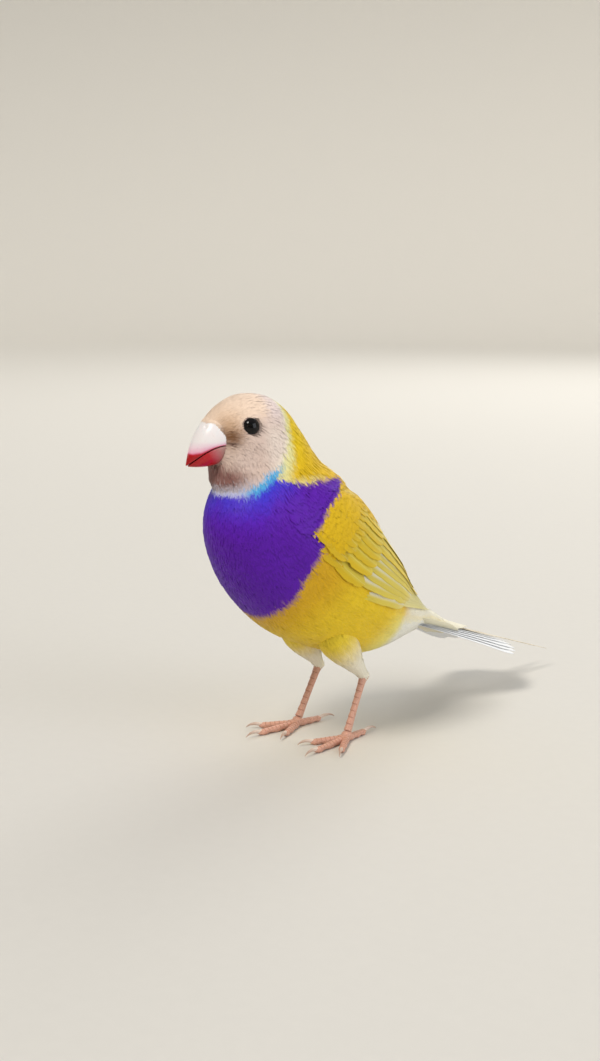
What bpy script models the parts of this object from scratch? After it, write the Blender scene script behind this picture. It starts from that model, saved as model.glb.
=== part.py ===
"""A male gouldian finch of the yellow-backed form, standing, as a life-size still model.

Units are metres and +Z is up. The bird faces -Y, its left side is +X, and its toes rest on z = 0.
Sizes are written in millimetres and turned into metres as each mesh is made. A place on the bird is
given as (side, ahead, up): millimetres to its left, ahead of its feet and above the floor.
The body is one skin drawn through cross-sections, and every other piece is placed on that skin.
"""

import math
from typing import NamedTuple

import bmesh
import bpy
from mathutils import Matrix, Vector

MM = 0.001
GAP = 0.3  # clearance between neighbouring pieces

# Driving dimensions, in millimetres and degrees
EYE_AHEAD, EYE_UP = 27.3, 79.8
EYE_RADIUS = 1.85
EYE_SUNK = 1.0  # how far the centre of the eye lies under the cheek's surface
HEAD_TURN = math.radians(17)  # the head looks a little to the bird's right
NECK_PIVOT_AHEAD = 17.5
BILL_LENGTH = 10.6  # straight from the gape to the tip
BILL_DROP = math.radians(27)  # slope of that line
MOUTH_ARCH = 1.3  # how far the line of the mouth rises above it
UPPER_BILL_HEIGHT, LOWER_BILL_HEIGHT, BILL_HALF_WIDTH = 6.9, 3.3, 4.8
OVERBITE = 0.5
TAIL_DROP = math.radians(17)
TAIL_FAN = math.radians(15)  # from the middle of the tail to its outermost feather
PIN_LENGTH = 67.0  # the two central tail feathers
FOOT_SIDE, FOOT_AHEAD = 8.6, 1.5
SHANK_LENGTH = 15.5
SHANK_LEAN = math.radians(27)
ANKLE_RADIUS = 1.25
KNEE_AHEAD, KNEE_INWARD, KNEE_UP = 3.2, 2.4, 28.0  # its place from the foot, and above the floor
VANE_THICKNESS = 0.6

# Resolution of the solids
RING_SIDES = 26
RINGS_PER_STATION = 3


class Station(NamedTuple):
    """One cross-section of the body: its ends on the back and on the belly, and its half width."""

    back_ahead: float
    back_up: float
    belly_ahead: float
    belly_up: float
    half_width: float


# The body's cross-sections from the root of the tail to the base of the bill
BODY = [
    Station(-38.4, 25.9, -37.4, 21.6, 3.2),
    Station(-31.2, 30.8, -27.0, 20.6, 5.5),
    Station(-24.6, 36.8, -16.8, 19.2, 8.6),
    Station(-18.2, 44.0, -7.2, 19.6, 12.0),
    Station(-11.2, 51.6, 4.4, 22.8, 14.4),
    Station(-4.9, 58.9, 18.6, 29.4, 15.4),
    Station(0.7, 64.8, 29.8, 40.0, 15.2),
    Station(5.4, 69.4, 35.6, 51.6, 13.4),
    Station(9.2, 73.8, 35.4, 60.0, 11.1),
    Station(12.3, 78.5, 32.6, 64.9, 9.5),
    Station(15.4, 82.7, 32.0, 68.0, 8.9),
    Station(20.4, 86.1, 32.4, 69.5, 8.4),
    Station(26.8, 86.6, 32.8, 70.4, 7.3),
    Station(32.1, 84.4, 33.2, 70.8, 4.5),
    Station(35.4, 81.5, 33.9, 71.4, 3.4),
]
TAIL_END, BILL_END = 0.0, len(BODY) - 1.0
RUMP_CUT, TORSO_CUT, NECK_CUT = 1.6, 7.5, 9.6  # where the skin is parted
TURN_FROM, TURN_TO = 7.0, 10.0  # the neck takes up the head's turn between these stations
OVER_TAIL = Station(-45.6, 24.6, -44.4, 18.6, 3.9)  # carries the wing tips past the body's end
HULL = [OVER_TAIL, *BODY]
ROUNDNESS = 2.12  # exponent of the cross-section, 2 being an ellipse


def place(side, ahead, up):
    """A point of the bird in the model's axes, still in millimetres."""
    return Vector((side, -ahead, up))


def smoothstep(value, low, high):
    share = min(1.0, max(0.0, (value - low) / (high - low)))
    return share * share * (3 - 2 * share)


def along(rows, t):
    """The row at a fractional index, on a Catmull-Rom curve through the rows."""
    t = min(max(t, 0.0), len(rows) - 1.0)
    start = min(int(t), len(rows) - 2)
    u = t - start
    last = len(rows) - 1
    picks = [rows[min(max(start + k, 0), last)] for k in (-1, 0, 1, 2)]
    result = []
    for a, b, c, d in zip(*picks):
        result.append(
            0.5
            * (
                2 * b
                + (c - a) * u
                + (2 * a - 5 * b + 4 * c - d) * u * u
                + (3 * b - a - 3 * c + d) * u**3
            )
        )
    return result


def turned(point, share=1.0):
    """The point carried round the neck by a share of the head's turn, towards the bird's right."""
    pivot = place(0, NECK_PIVOT_AHEAD, 0)
    return Matrix.Rotation(-HEAD_TURN * share, 3, "Z") @ (point - pivot) + pivot


def skin(t, angle, lift=0.0):
    """A point on the body at station t. The angle runs from the back (0) over the left side (90 degrees)."""
    back_ahead, back_up, belly_ahead, belly_up, half_width = along(HULL, t + 1)
    middle = place(0, (back_ahead + belly_ahead) / 2, (back_up + belly_up) / 2)
    half = place(0, (back_ahead - belly_ahead) / 2, (back_up - belly_up) / 2)
    depth = half.length
    rise, spread = math.cos(angle), math.sin(angle)
    rise = math.copysign(abs(rise) ** (2 / ROUNDNESS), rise)
    spread = math.copysign(abs(spread) ** (2 / ROUNDNESS), spread)
    outward = Vector((spread / half_width, 0, 0)) + half.normalized() * (rise / depth)
    point = middle + half * rise + Vector((half_width * spread, 0, 0))
    point += outward.normalized() * lift
    return turned(point, smoothstep(t, TURN_FROM, TURN_TO))


def skin_normal(t, angle):
    step = 0.02
    run = skin(t + step, angle) - skin(t - step, angle)
    round_ = skin(t, angle + step) - skin(t, angle - step)
    return run.cross(round_).normalized()


def new_object(name, bm, material):
    """Writes a mesh in millimetres as a named object in metres."""
    bmesh.ops.recalc_face_normals(bm, faces=bm.faces)
    bmesh.ops.scale(bm, vec=(MM, MM, MM), verts=bm.verts)
    mesh = bpy.data.meshes.new(name)
    bm.to_mesh(mesh)
    bm.free()
    obj = bpy.data.objects.new(name, mesh)
    bpy.context.scene.collection.objects.link(obj)
    if material:
        mesh.materials.append(material)
    return obj


def loft(rings):
    """A closed bmesh through rings of points, each ring joined to the next and the ends filled."""
    bm = bmesh.new()
    rows = [[bm.verts.new(p) for p in ring] for ring in rings]
    count = len(rows[0])
    for lower, upper in zip(rows, rows[1:]):
        for k in range(count):
            following = (k + 1) % count
            bm.faces.new((lower[k], lower[following], upper[following]))
            bm.faces.new((lower[k], upper[following], upper[k]))
    bm.faces.new(rows[0][::-1])
    bm.faces.new(rows[-1])
    return bm


def beyond(inner, ring, reach):
    """The end ring moved outwards, away from the ring before it."""
    out = (sum(ring, Vector()) - sum(inner, Vector())).normalized() * reach
    return [p + out for p in ring]


def body_mesh(lift=0.0, sides=RING_SIDES):
    steps = int((BILL_END - TAIL_END) * RINGS_PER_STATION)
    rings = []
    for step in range(steps + 1):
        t = TAIL_END + step / RINGS_PER_STATION
        rings.append([skin(t, 2 * math.pi * k / sides, lift) for k in range(sides)])
    if lift:
        rings = [beyond(rings[1], rings[0], lift), *rings, beyond(rings[-2], rings[-1], lift)]
    return loft(rings)


def section_plane(t):
    """Point and normal of the cross-section at station t, the normal pointing to the head."""
    back, belly, left = skin(t, 0), skin(t, math.pi), skin(t, math.pi / 2)
    centre = (back + belly) / 2
    normal = (back - belly).cross(left - centre).normalized()
    towards_head = skin(t + 0.1, 0) - back
    return centre, normal if normal.dot(towards_head) > 0 else -normal


def part_of_body(name, start, end, material):
    """The stretch of the body between two parting cuts. None leaves that end as it is."""
    bm = body_mesh()
    for t, side in ((start, 1), (end, -1)):
        if t is None:
            continue
        centre, normal = section_plane(t)
        normal = normal * side
        bmesh.ops.bisect_plane(
            bm,
            geom=[*bm.verts, *bm.edges, *bm.faces],
            plane_co=centre + normal * (GAP / 2),
            plane_no=-normal,
            clear_outer=True,
        )
        rim = [edge for edge in bm.edges if edge.is_boundary]
        bmesh.ops.holes_fill(bm, edges=rim)
    return new_object(name, bm, material)


def combine(obj, others, operation, solver="EXACT"):
    """Joins or cuts with closed meshes, applies it, and removes them."""
    tools = bpy.data.collections.new("tools")
    for other in others:
        tools.objects.link(other)
    modifier = obj.modifiers.new("combine", "BOOLEAN")
    modifier.operation = operation
    modifier.solver = solver
    modifier.operand_type = "COLLECTION"
    modifier.collection = tools
    graph = bpy.context.evaluated_depsgraph_get()
    made = bpy.data.meshes.new_from_object(obj.evaluated_get(graph))
    obj.modifiers.remove(modifier)
    for other in others:
        bpy.data.objects.remove(other)
    bpy.data.collections.remove(tools)
    obj.data = made
    return obj


def keep_largest(obj):
    """Keeps the closed surface of the largest volume."""
    bm = bmesh.new()
    bm.from_mesh(obj.data)
    bmesh.ops.triangulate(bm, faces=bm.faces)
    left, groups = set(bm.verts), []
    while left:
        found, edge = set(), {left.pop()}
        while edge:
            found |= edge
            edge = {e.other_vert(v) for v in edge for e in v.link_edges} - found
        left -= found
        groups.append(found)

    def volume(group):
        faces = {f for v in group for f in v.link_faces}
        return sum(f.verts[0].co.dot(f.verts[1].co.cross(f.verts[2].co)) for f in faces)

    largest = max(groups, key=volume)
    bmesh.ops.delete(bm, geom=[v for v in bm.verts if v not in largest], context="VERTS")
    bm.to_mesh(obj.data)
    bm.free()
    return obj


def fused(name, pieces, material, cutters=(), solver="EXACT"):
    """One closed body from overlapping pieces, less its cutters."""
    obj = pieces[0]
    if len(pieces) > 1:
        combine(obj, pieces[1:], "UNION", solver)
    for cutter in cutters:
        combine(obj, [cutter], "DIFFERENCE", solver)
    keep_largest(obj)
    obj.name = name
    obj.data.materials.clear()
    obj.data.materials.append(material)
    return obj


def mirrored(obj, name):
    """The same piece on the bird's other side."""
    bm = bmesh.new()
    bm.from_mesh(obj.data)
    bmesh.ops.scale(bm, vec=(-1, 1, 1), verts=bm.verts)
    bmesh.ops.reverse_faces(bm, faces=bm.faces)
    mesh = bpy.data.meshes.new(name)
    bm.to_mesh(mesh)
    bm.free()
    for material in obj.data.materials:
        mesh.materials.append(material)
    copy = bpy.data.objects.new(name, mesh)
    bpy.context.scene.collection.objects.link(copy)
    return copy


def body_cutter():
    return new_object("body_cutter", body_mesh(lift=GAP), None)


def ball(centre, radius, segments=16, rings=10):
    bm = bmesh.new()
    bmesh.ops.create_uvsphere(bm, u_segments=segments, v_segments=rings, radius=radius)
    bmesh.ops.translate(bm, vec=centre, verts=bm.verts)
    return new_object("ball", bm, None)


def tube(points, radii, sides=12, floor=None):
    """A round bar along points, flattened where it would pass under the floor."""
    rings = []
    for k, (point, radius) in enumerate(zip(points, radii)):
        run = (points[min(k + 1, len(points) - 1)] - points[max(k - 1, 0)]).normalized()
        across = run.cross(Vector((0, 0, 1)))
        across = across.normalized() if across.length > 0.05 else Vector((1, 0, 0))
        rise = across.cross(run)
        ring = []
        for side in range(sides):
            angle = 2 * math.pi * (side + 0.5) / sides
            p = point + (across * math.sin(angle) + rise * math.cos(angle)) * radius
            if floor is not None:
                p.z = max(p.z, floor)
            ring.append(p)
        rings.append(ring)
    return new_object("tube", loft(rings), None)


class Frame(NamedTuple):
    """Where a vane's shaft passes: its place, the way across the vane, and the way out of its face."""

    centre: Vector
    across: Vector
    out: Vector
    half_width: float


def vane(frames, thickness, tilt=0.0, cup=0.0, shaft=0.15):
    """A thin feather blade through frames, with a raised shaft. Both faces are split into like triangles.

    The tilt raises one long edge over the next feather, and the cup bends both edges inwards.
    """
    faces_of = []
    bm = bmesh.new()
    for half in (thickness / 2, -thickness / 2):
        rows = []
        for frame in frames:
            row = []
            for side in (-1, 0, 1):
                reach = side * frame.half_width
                height = half + tilt * reach - cup * reach * reach
                if side == 0 and half > 0:
                    height += shaft * min(1.0, frame.half_width)
                row.append(bm.verts.new(frame.centre + frame.across * reach + frame.out * height))
            rows.append(row)
        faces_of.append(rows)
    top, bottom = faces_of
    for rows, flip in ((top, False), (bottom, True)):
        for first, second in zip(rows, rows[1:]):
            for c in (0, 1):
                for corners in (
                    (first[c], first[c + 1], second[c + 1]),
                    (first[c], second[c + 1], second[c]),
                ):
                    bm.faces.new(corners[::-1] if flip else corners)
    count = len(frames)
    rim = [(r, 0) for r in range(count)] + [(count - 1, 1)]
    rim += [(r, 2) for r in reversed(range(count))] + [(0, 1)]
    for (r0, c0), (r1, c1) in zip(rim, rim[1:] + rim[:1]):
        bm.faces.new((top[r0][c0], top[r1][c1], bottom[r1][c1]))
        bm.faces.new((top[r0][c0], bottom[r1][c1], bottom[r0][c0]))
    return new_object("vane", bm, None)


# Widths of a feather blade along its length, as shares of the half width
ROUND_TIP = ((0.0, 0.6), (0.5, 1.0), (0.8, 0.9), (0.94, 0.55), (1.0, 0.16))
POINTED_TIP = ((0.0, 0.6), (0.35, 1.0), (0.72, 0.85), (0.92, 0.42), (1.0, 0.1))
COVERT_TIP = ((0.0, 0.6), (0.55, 1.0), (0.88, 0.68), (1.0, 0.2))
SHORT_TIP = ((0.0, 0.6), (0.65, 1.0), (1.0, 0.3))


def wing_feather(root, tip, half_width, lifts, outline):
    """A feather on the folded left wing, from root to tip, each given as (station, angle in degrees)."""
    frames = []
    for share, width in outline:
        t = root[0] + (tip[0] - root[0]) * share
        bend = share * share * (3 - 2 * share) * 0.5 + share * 0.5
        angle = math.radians(root[1] + (tip[1] - root[1]) * bend)
        lift = lifts[0] + (lifts[1] - lifts[0]) * share
        out = skin_normal(t, angle)
        ahead = 0.04 * (tip[0] - root[0])
        turn = 0.04 * math.radians(tip[1] - root[1])
        run = skin(t + ahead, angle + turn) - skin(t - ahead, angle - turn)
        across = run.cross(out).normalized()
        frames.append(Frame(skin(t, angle, lift), across, out, half_width * width))
    middle = (root[0] + tip[0]) / 2
    radius = (skin(middle, math.pi / 2) - skin(middle, -math.pi / 2)).length / 2
    return vane(frames, VANE_THICKNESS, WING_TILT, cup=1 / (2 * radius + 4))


class FeatherRow(NamedTuple):
    """A row of wing feathers. First is next to the back, last is on the wing's lower edge."""

    count: int
    first_root: tuple
    last_root: tuple
    first_tip: tuple
    last_tip: tuple
    half_width: float
    lifts: tuple
    outline: tuple


WING_ROWS = {
    "primaries": FeatherRow(6, (3.9, 74), (4.2, 100), (0.7, 44), (-0.62, 60), 2.8, (1.1, 1.25), POINTED_TIP),
    "secondaries": FeatherRow(5, (5.0, 62), (5.2, 100), (1.5, 47), (3.0, 91), 3.3, (1.5, 1.6), ROUND_TIP),
    "tertials": FeatherRow(3, (5.4, 30), (5.2, 54), (2.3, 15), (1.2, 36), 3.7, (1.9, 1.9), ROUND_TIP),
    "greater_coverts": FeatherRow(6, (6.0, 46), (6.1, 105), (4.35, 42), (4.75, 103), 2.9, (1.8, 2.2), COVERT_TIP),
    "median_coverts": FeatherRow(5, (6.5, 47), (6.5, 104), (5.35, 45), (5.5, 103), 3.2, (1.4, 2.6), COVERT_TIP),
    "lesser_coverts": FeatherRow(4, (6.9, 52), (6.9, 102), (6.0, 49), (6.1, 101), 3.5, (0.9, 2.7), SHORT_TIP),
    "scapulars": FeatherRow(3, (6.7, 23), (6.6, 42), (4.1, 16), (4.8, 38), 3.6, (0.6, 2.5), COVERT_TIP),
}
WING_TILT = 0.11
PAD_STATIONS = (2.0, 6.85)
PAD_ANGLES = (24.0, 108.0)
PAD_LIFT, PAD_SHOULDER = 1.1, 0.85  # its height, and how much higher it stands under the coverts
PAD_SUNK = -1.2


def wing_pad():
    """The arm of the folded wing, a plate on the flank that carries the roots of its feathers."""
    rings = []
    steps, columns = 9, 6
    for step in range(steps + 1):
        share = step / steps
        t = PAD_STATIONS[0] + (PAD_STATIONS[1] - PAD_STATIONS[0]) * share
        narrowing = 14 * (1 - smoothstep(share, 0.0, 0.5)) + 8 * smoothstep(share, 0.8, 1.0)
        low = math.radians(PAD_ANGLES[0] + narrowing)
        high = math.radians(PAD_ANGLES[1] - narrowing)
        angles = [low + (high - low) * k / columns for k in range(columns + 1)]
        lift = PAD_LIFT + PAD_SHOULDER * (smoothstep(share, 0.4, 0.62) - smoothstep(share, 0.85, 1.0))
        ring = [skin(t, angle, lift) for angle in angles]
        ring += [skin(t, angle, PAD_SUNK) for angle in reversed(angles)]
        rings.append(ring)
    return new_object("pad", loft(rings), None)


def mix(first, second, share):
    return tuple(a + (b - a) * share for a, b in zip(first, second))


def left_wing(material):
    pieces = [wing_pad()]
    for row in WING_ROWS.values():
        for k in range(row.count):
            share = k / (row.count - 1)
            pieces.append(
                wing_feather(
                    mix(row.first_root, row.last_root, share),
                    mix(row.first_tip, row.last_tip, share),
                    row.half_width,
                    row.lifts,
                    row.outline,
                )
            )
    return fused("wing_left", pieces, material, [body_cutter()])


class TailFeather(NamedTuple):
    """A pair of tail feathers, counted from the middle of the tail outwards."""

    length: float
    half_width: float
    outline: tuple


# The central pair narrows into two fine pins
PIN_TIP = ((0.0, 0.6), (0.3, 1.0), (0.52, 0.75), (0.68, 0.34), (0.84, 0.2), (1.0, 0.1))
TAIL_PAIRS = [
    TailFeather(PIN_LENGTH, 2.6, PIN_TIP),
    TailFeather(45.5, 3.0, POINTED_TIP),
    TailFeather(44.5, 3.2, POINTED_TIP),
    TailFeather(43.0, 3.3, ROUND_TIP),
    TailFeather(41.0, 3.3, ROUND_TIP),
    TailFeather(38.5, 3.2, ROUND_TIP),
]
TAIL_ROOT_AHEAD, TAIL_ROOT_UP = -27.0, 26.0
TAIL_STEP = 0.5  # how far each pair lies under the pair inside it
TAIL_TILT = 0.07
TAIL_SAG = 1.2  # how far the tips sink below the straight line
PIN_TURN = math.radians(1.4)


def tail_feather(index, side):
    """One tail feather. It lies under its inner neighbour and sinks a little towards its tip."""
    pair = TAIL_PAIRS[index]
    fan = TAIL_FAN * index / (len(TAIL_PAIRS) - 1) * side
    if index == 0:
        fan = side * PIN_TURN
    flat = Vector((math.sin(fan), math.cos(fan), 0))
    run = Vector((flat.x, flat.y * math.cos(TAIL_DROP), -flat.y * math.sin(TAIL_DROP)))
    out = Vector((0, math.sin(TAIL_DROP), math.cos(TAIL_DROP)))
    across = run.cross(out).normalized() * -side
    root = place(side * (0.5 + 0.35 * index), TAIL_ROOT_AHEAD, TAIL_ROOT_UP) - out * (TAIL_STEP * index)
    frames = []
    for share, width in pair.outline:
        centre = root + run * (pair.length * share) - out * (TAIL_SAG * share * share)
        frames.append(Frame(centre, across, out, pair.half_width * width))
    return vane(frames, VANE_THICKNESS, tilt=-TAIL_TILT, shaft=0.12)


# Coverts over and under the root of the tail: length, half width, turn in degrees and height over the tail
TAIL_COVERTS = (
    (17.0, 2.2, 6.0, 0.8),
    (21.0, 2.2, 2.0, 1.2),
    (22.0, 3.0, 8.0, -4.2),
    (27.0, 3.0, 3.0, -4.7),
)


def tail_covert(length, half_width, degrees, height, side):
    turn = math.radians(degrees) * side
    run = Vector((math.sin(turn), math.cos(turn) * math.cos(TAIL_DROP), -math.cos(turn) * math.sin(TAIL_DROP)))
    out = Vector((0, math.sin(TAIL_DROP), math.cos(TAIL_DROP)))
    across = run.cross(out).normalized()
    root = place(side * half_width * 0.5, TAIL_ROOT_AHEAD - 1.0, TAIL_ROOT_UP) + out * height
    frames = []
    for share, width in COVERT_TIP:
        closing = out * (height * -0.55 * share * share)
        frames.append(Frame(root + run * (length * share) + closing, across, out, half_width * width))
    return vane(frames, 0.7, cup=math.copysign(0.03, height))


def tail(material):
    pieces = [tail_feather(k, side) for k in range(len(TAIL_PAIRS)) for side in (1, -1)]
    pieces += [tail_covert(*covert, side) for covert in TAIL_COVERTS for side in (1, -1)]
    root = tube(
        [place(0, TAIL_ROOT_AHEAD - 2, TAIL_ROOT_UP - 1.8), place(0, TAIL_ROOT_AHEAD - 17, TAIL_ROOT_UP - 6.6)],
        [2.9, 2.1],
    )
    return fused("tail", [root, *pieces], material, [body_cutter()], "MANIFOLD")


# The line of the mouth runs from the gape to the tip of the bill
GAPE_AHEAD, GAPE_UP = 31.0, 75.3
MOUTH_RUN = place(0, math.cos(BILL_DROP), -math.sin(BILL_DROP))
MOUTH_RISE = place(0, math.sin(BILL_DROP), math.cos(BILL_DROP))


def bill_ring(share, height, grow=0.0, sides=14):
    """Half of a bill's cross-section: an arch off the line of the mouth, with a flat along that line."""
    upwards = math.copysign(1, height)
    length = BILL_LENGTH if height > 0 else BILL_LENGTH - OVERBITE
    origin = place(0, GAPE_AHEAD, GAPE_UP) + MOUTH_RUN * (length * share)
    share = max(0.0, share)
    taper = max(0.0, 1 - (max(0.0, share - 0.13) / 0.87) ** 2.2)
    width = BILL_HALF_WIDTH * 0.96 * (1 - share**1.9) + 0.16 + grow
    mouth = MOUTH_ARCH * math.sin(math.pi * share**0.8)
    base = mouth + upwards * (GAP / 2 - grow * 1.6)
    edge = height * taper + upwards * (0.3 + grow)
    ring = []
    for k in range(sides + 1):
        angle = math.pi * k / sides
        lift = base + (edge - base) * math.sin(angle) ** 0.9
        ring.append(origin + Vector((math.cos(angle) * width, 0, 0)) + MOUTH_RISE * lift)
    return ring


BILL_SHARES = (-0.12, 0.05, 0.2, 0.36, 0.52, 0.66, 0.78, 0.88, 0.95, 1.0)
SOCKET_SHARES = (-0.16, 0.05, 0.2, 0.36, 0.66, 1.0)
NOSTRIL_SIDE, NOSTRIL_ALONG, NOSTRIL_RISE, NOSTRIL_RADIUS = 2.1, 2.8, 6.7, 0.55


def bill_half(height, shares=BILL_SHARES, grow=0.0):
    return loft([[turned(p) for p in bill_ring(share, height, grow)] for share in shares])


def bill(material_upper, material_lower):
    upper = new_object("bill_upper", bill_half(UPPER_BILL_HEIGHT), material_upper)
    lower = new_object("bill_lower", bill_half(-LOWER_BILL_HEIGHT), material_lower)
    nostrils = []
    for side in (1, -1):
        spot = place(side * NOSTRIL_SIDE, GAPE_AHEAD, GAPE_UP)
        spot += MOUTH_RUN * NOSTRIL_ALONG + MOUTH_RISE * NOSTRIL_RISE
        nostrils.append(ball(turned(spot), NOSTRIL_RADIUS, 10, 6))
    fused("bill_upper", [upper], material_upper, nostrils)
    return upper, lower


def cheek_spot(ahead, up):
    """Station and angle of the left cheek's surface at a place seen from the side."""
    best = None
    for i in range(60):
        t = 9.5 + i * 0.07
        for k in range(40):
            angle = math.radians(50 + 2 * k)
            p = turned(skin(t, angle), -1.0)
            miss = math.hypot(-p.y - ahead, p.z - up)
            if best is None or miss < best[0]:
                best = (miss, t, angle)
    return best[1], best[2]


def eye_axis(side):
    """Centre of an eyeball and the way that it looks."""
    t, angle = cheek_spot(EYE_AHEAD, EYE_UP)
    if side < 0:
        angle = -angle
    out = skin_normal(t, angle)
    return skin(t, angle) - out * EYE_SUNK, out


LID_RADIUS = 0.33


def lid_ring(centre, out):
    """The ring of lids round an eye, a torus that lies on the cheek."""
    middle = centre + out * (EYE_SUNK + 0.05)
    side = out.orthogonal().normalized()
    up = out.cross(side)
    rings = []
    around, section = 16, 6
    for k in range(around):
        angle = 2 * math.pi * k / around
        radial = side * math.cos(angle) + up * math.sin(angle)
        ring = []
        for j in range(section):
            turn = 2 * math.pi * j / section
            reach = EYE_RADIUS + LID_RADIUS * math.cos(turn)
            ring.append(middle + radial * reach + out * (LID_RADIUS * math.sin(turn)))
        rings.append(ring)
    bm = bmesh.new()
    rows = [[bm.verts.new(p) for p in ring] for ring in rings]
    for k, row in enumerate(rows):
        following = rows[(k + 1) % around]
        for j in range(section):
            nxt = (j + 1) % section
            bm.faces.new((row[j], row[nxt], following[nxt]))
            bm.faces.new((row[j], following[nxt], following[j]))
    return new_object("lids", bm, None)


def head_and_eyes(materials):
    head = part_of_body("head", NECK_CUT, None, materials["head"])
    lids, sockets, eyes = [], [], []
    for side, name in ((1, "eye_left"), (-1, "eye_right")):
        centre, out = eye_axis(side)
        lids.append(lid_ring(centre, out))
        sockets.append(ball(centre, EYE_RADIUS + GAP, 14, 8))
        eye = ball(centre, EYE_RADIUS)
        eye.name = name
        eye.data.materials.append(materials["eye"])
        eyes.append(eye)
    for height in (UPPER_BILL_HEIGHT, -LOWER_BILL_HEIGHT):
        sockets.append(new_object("socket", bill_half(height, SOCKET_SHARES, GAP), None))
    fused("head", [head, *lids], materials["head"], sockets)
    return head, eyes


def left_leg(materials):
    """Thigh, shank and foot of the left leg."""
    foot = place(FOOT_SIDE, FOOT_AHEAD, 1.5)
    rise = place(0, -math.sin(SHANK_LEAN), math.cos(SHANK_LEAN))
    ankle = foot + rise * SHANK_LENGTH + Vector((-0.8, 0, 0))
    rise = (ankle - foot).normalized()
    knee = place(FOOT_SIDE - KNEE_INWARD, FOOT_AHEAD + KNEE_AHEAD, KNEE_UP)

    thigh_run = ankle - knee
    thigh_shares = (0.0, 0.25, 0.5, 0.72, 0.88, 1.0)
    thigh_radii = (5.0, 4.8, 3.6, 2.3, 1.5, 1.2)
    thigh = tube([knee + thigh_run * s for s in thigh_shares], thigh_radii, 16)
    fused("thigh_left", [thigh], materials["thigh"], [body_cutter(), ball(ankle, ANKLE_RADIUS + GAP)])

    neck_length = 2.4
    start = neck_length + GAP
    scutes = 7
    points, radii = [], []
    for k in range(scutes):
        for share, swell in ((0.0, 0.78), (0.9, 1.0)):
            reach = start + (SHANK_LENGTH - 1.0 - start) * (k + share) / scutes
            points.append(foot + rise * reach)
            radii.append(swell * (0.92 + 0.16 * abs(2 * (k + share) / scutes - 1)))
    shank = tube(points, radii, 9)
    fused("shank_left", [ball(ankle, ANKLE_RADIUS, 12, 8), shank], materials["leg"])

    neck = tube([foot - rise * 0.3, foot + rise * neck_length], [1.2, 0.95], 10)
    pieces = [ball(foot, 1.35, 10, 6), neck]
    for heading, length, claw in TOES:
        pieces += toe(foot, heading, length, claw)
    fused("foot_left", pieces, materials["leg"])
    return [bpy.data.objects[name] for name in ("thigh_left", "shank_left", "foot_left")]


# Heading from straight ahead in degrees, length of the toe and of its claw
TOES = ((6.0, 12.0, 4.4), (-26.0, 9.0, 3.8), (36.0, 9.4, 3.8), (186.0, 7.4, 5.0))


def toe(foot, heading, length, claw):
    """A toe on three pads with flat undersides, and its curved claw."""
    angle = math.radians(heading)
    run = Vector((math.sin(angle), -math.cos(angle), 0))
    base = Vector((foot.x, foot.y, 0))
    shape = (
        (0.0, 1.3, 1.0),
        (0.25, 0.76, 0.97),
        (0.42, 0.92, 0.76),
        (0.58, 0.73, 0.92),
        (0.74, 0.9, 0.7),
        (0.9, 0.7, 0.85),
        (1.02, 0.9, 0.5),
    )
    points = [base + run * (length * share) + Vector((0, 0, up)) for share, up, _ in shape]
    made = [tube(points, [radius for _, _, radius in shape], 8, floor=0.0)]
    arc = ((-0.2, 0.9, 0.5), (0.3, 1.25, 0.46), (0.7, 1.15, 0.3), (1.0, 0.45, 0.08))
    points = [base + run * (length + claw * share) + Vector((0, 0, up)) for share, up, _ in arc]
    made.append(tube(points, [radius for _, _, radius in arc], 6))
    return made


def centre_on_footprint():
    """Moves the bird so that the origin is on the floor under the middle of its bounding box."""
    corners = [v.co for o in bpy.data.objects for v in o.data.vertices]
    shift = Vector((0, 0, 0))
    for axis in (0, 1):
        values = [c[axis] for c in corners]
        shift[axis] = -(min(values) + max(values)) / 2
    for obj in bpy.data.objects:
        obj.data.transform(Matrix.Translation(shift))


def finish(name, colour, roughness, metallic=0.0):
    """A plain material of the finish's own colour."""
    material = bpy.data.materials.new(name)
    material.use_nodes = True
    shader = material.node_tree.nodes["Principled BSDF"]
    shader.inputs["Base Color"].default_value = (*colour, 1)
    shader.inputs["Roughness"].default_value = roughness
    shader.inputs["Metallic"].default_value = metallic
    return material


def main():
    for obj in list(bpy.data.objects):
        bpy.data.objects.remove(obj)
    materials = {
        "head": finish("cream_plumage", (0.76, 0.60, 0.49), 0.8),
        "neck": finish("violet_plumage", (0.11, 0.03, 0.42), 0.7),
        "torso": finish("yellow_plumage", (0.78, 0.52, 0.02), 0.75),
        "rump": finish("white_plumage", (0.72, 0.70, 0.58), 0.8),
        "thigh": finish("pale_yellow_plumage", (0.80, 0.66, 0.20), 0.8),
        "wing": finish("wing_vanes", (0.80, 0.62, 0.08), 0.6),
        "tail": finish("tail_vanes", (0.80, 0.80, 0.76), 0.6),
        "bill_upper": finish("pink_white_horn", (0.90, 0.62, 0.60), 0.3),
        "bill_lower": finish("red_horn", (0.60, 0.03, 0.04), 0.3),
        "eye": finish("dark_eye", (0.01, 0.006, 0.005), 0.08),
        "leg": finish("pink_scales", (0.72, 0.38, 0.30), 0.5),
    }
    part_of_body("rump", None, RUMP_CUT, materials["rump"])
    part_of_body("torso", RUMP_CUT, TORSO_CUT, materials["torso"])
    part_of_body("neck", TORSO_CUT, NECK_CUT, materials["neck"])
    head_and_eyes(materials)
    bill(materials["bill_upper"], materials["bill_lower"])
    mirrored(left_wing(materials["wing"]), "wing_right")
    tail(materials["tail"])
    for piece in left_leg(materials):
        mirrored(piece, piece.name.replace("left", "right"))
    centre_on_footprint()


main()
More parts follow.
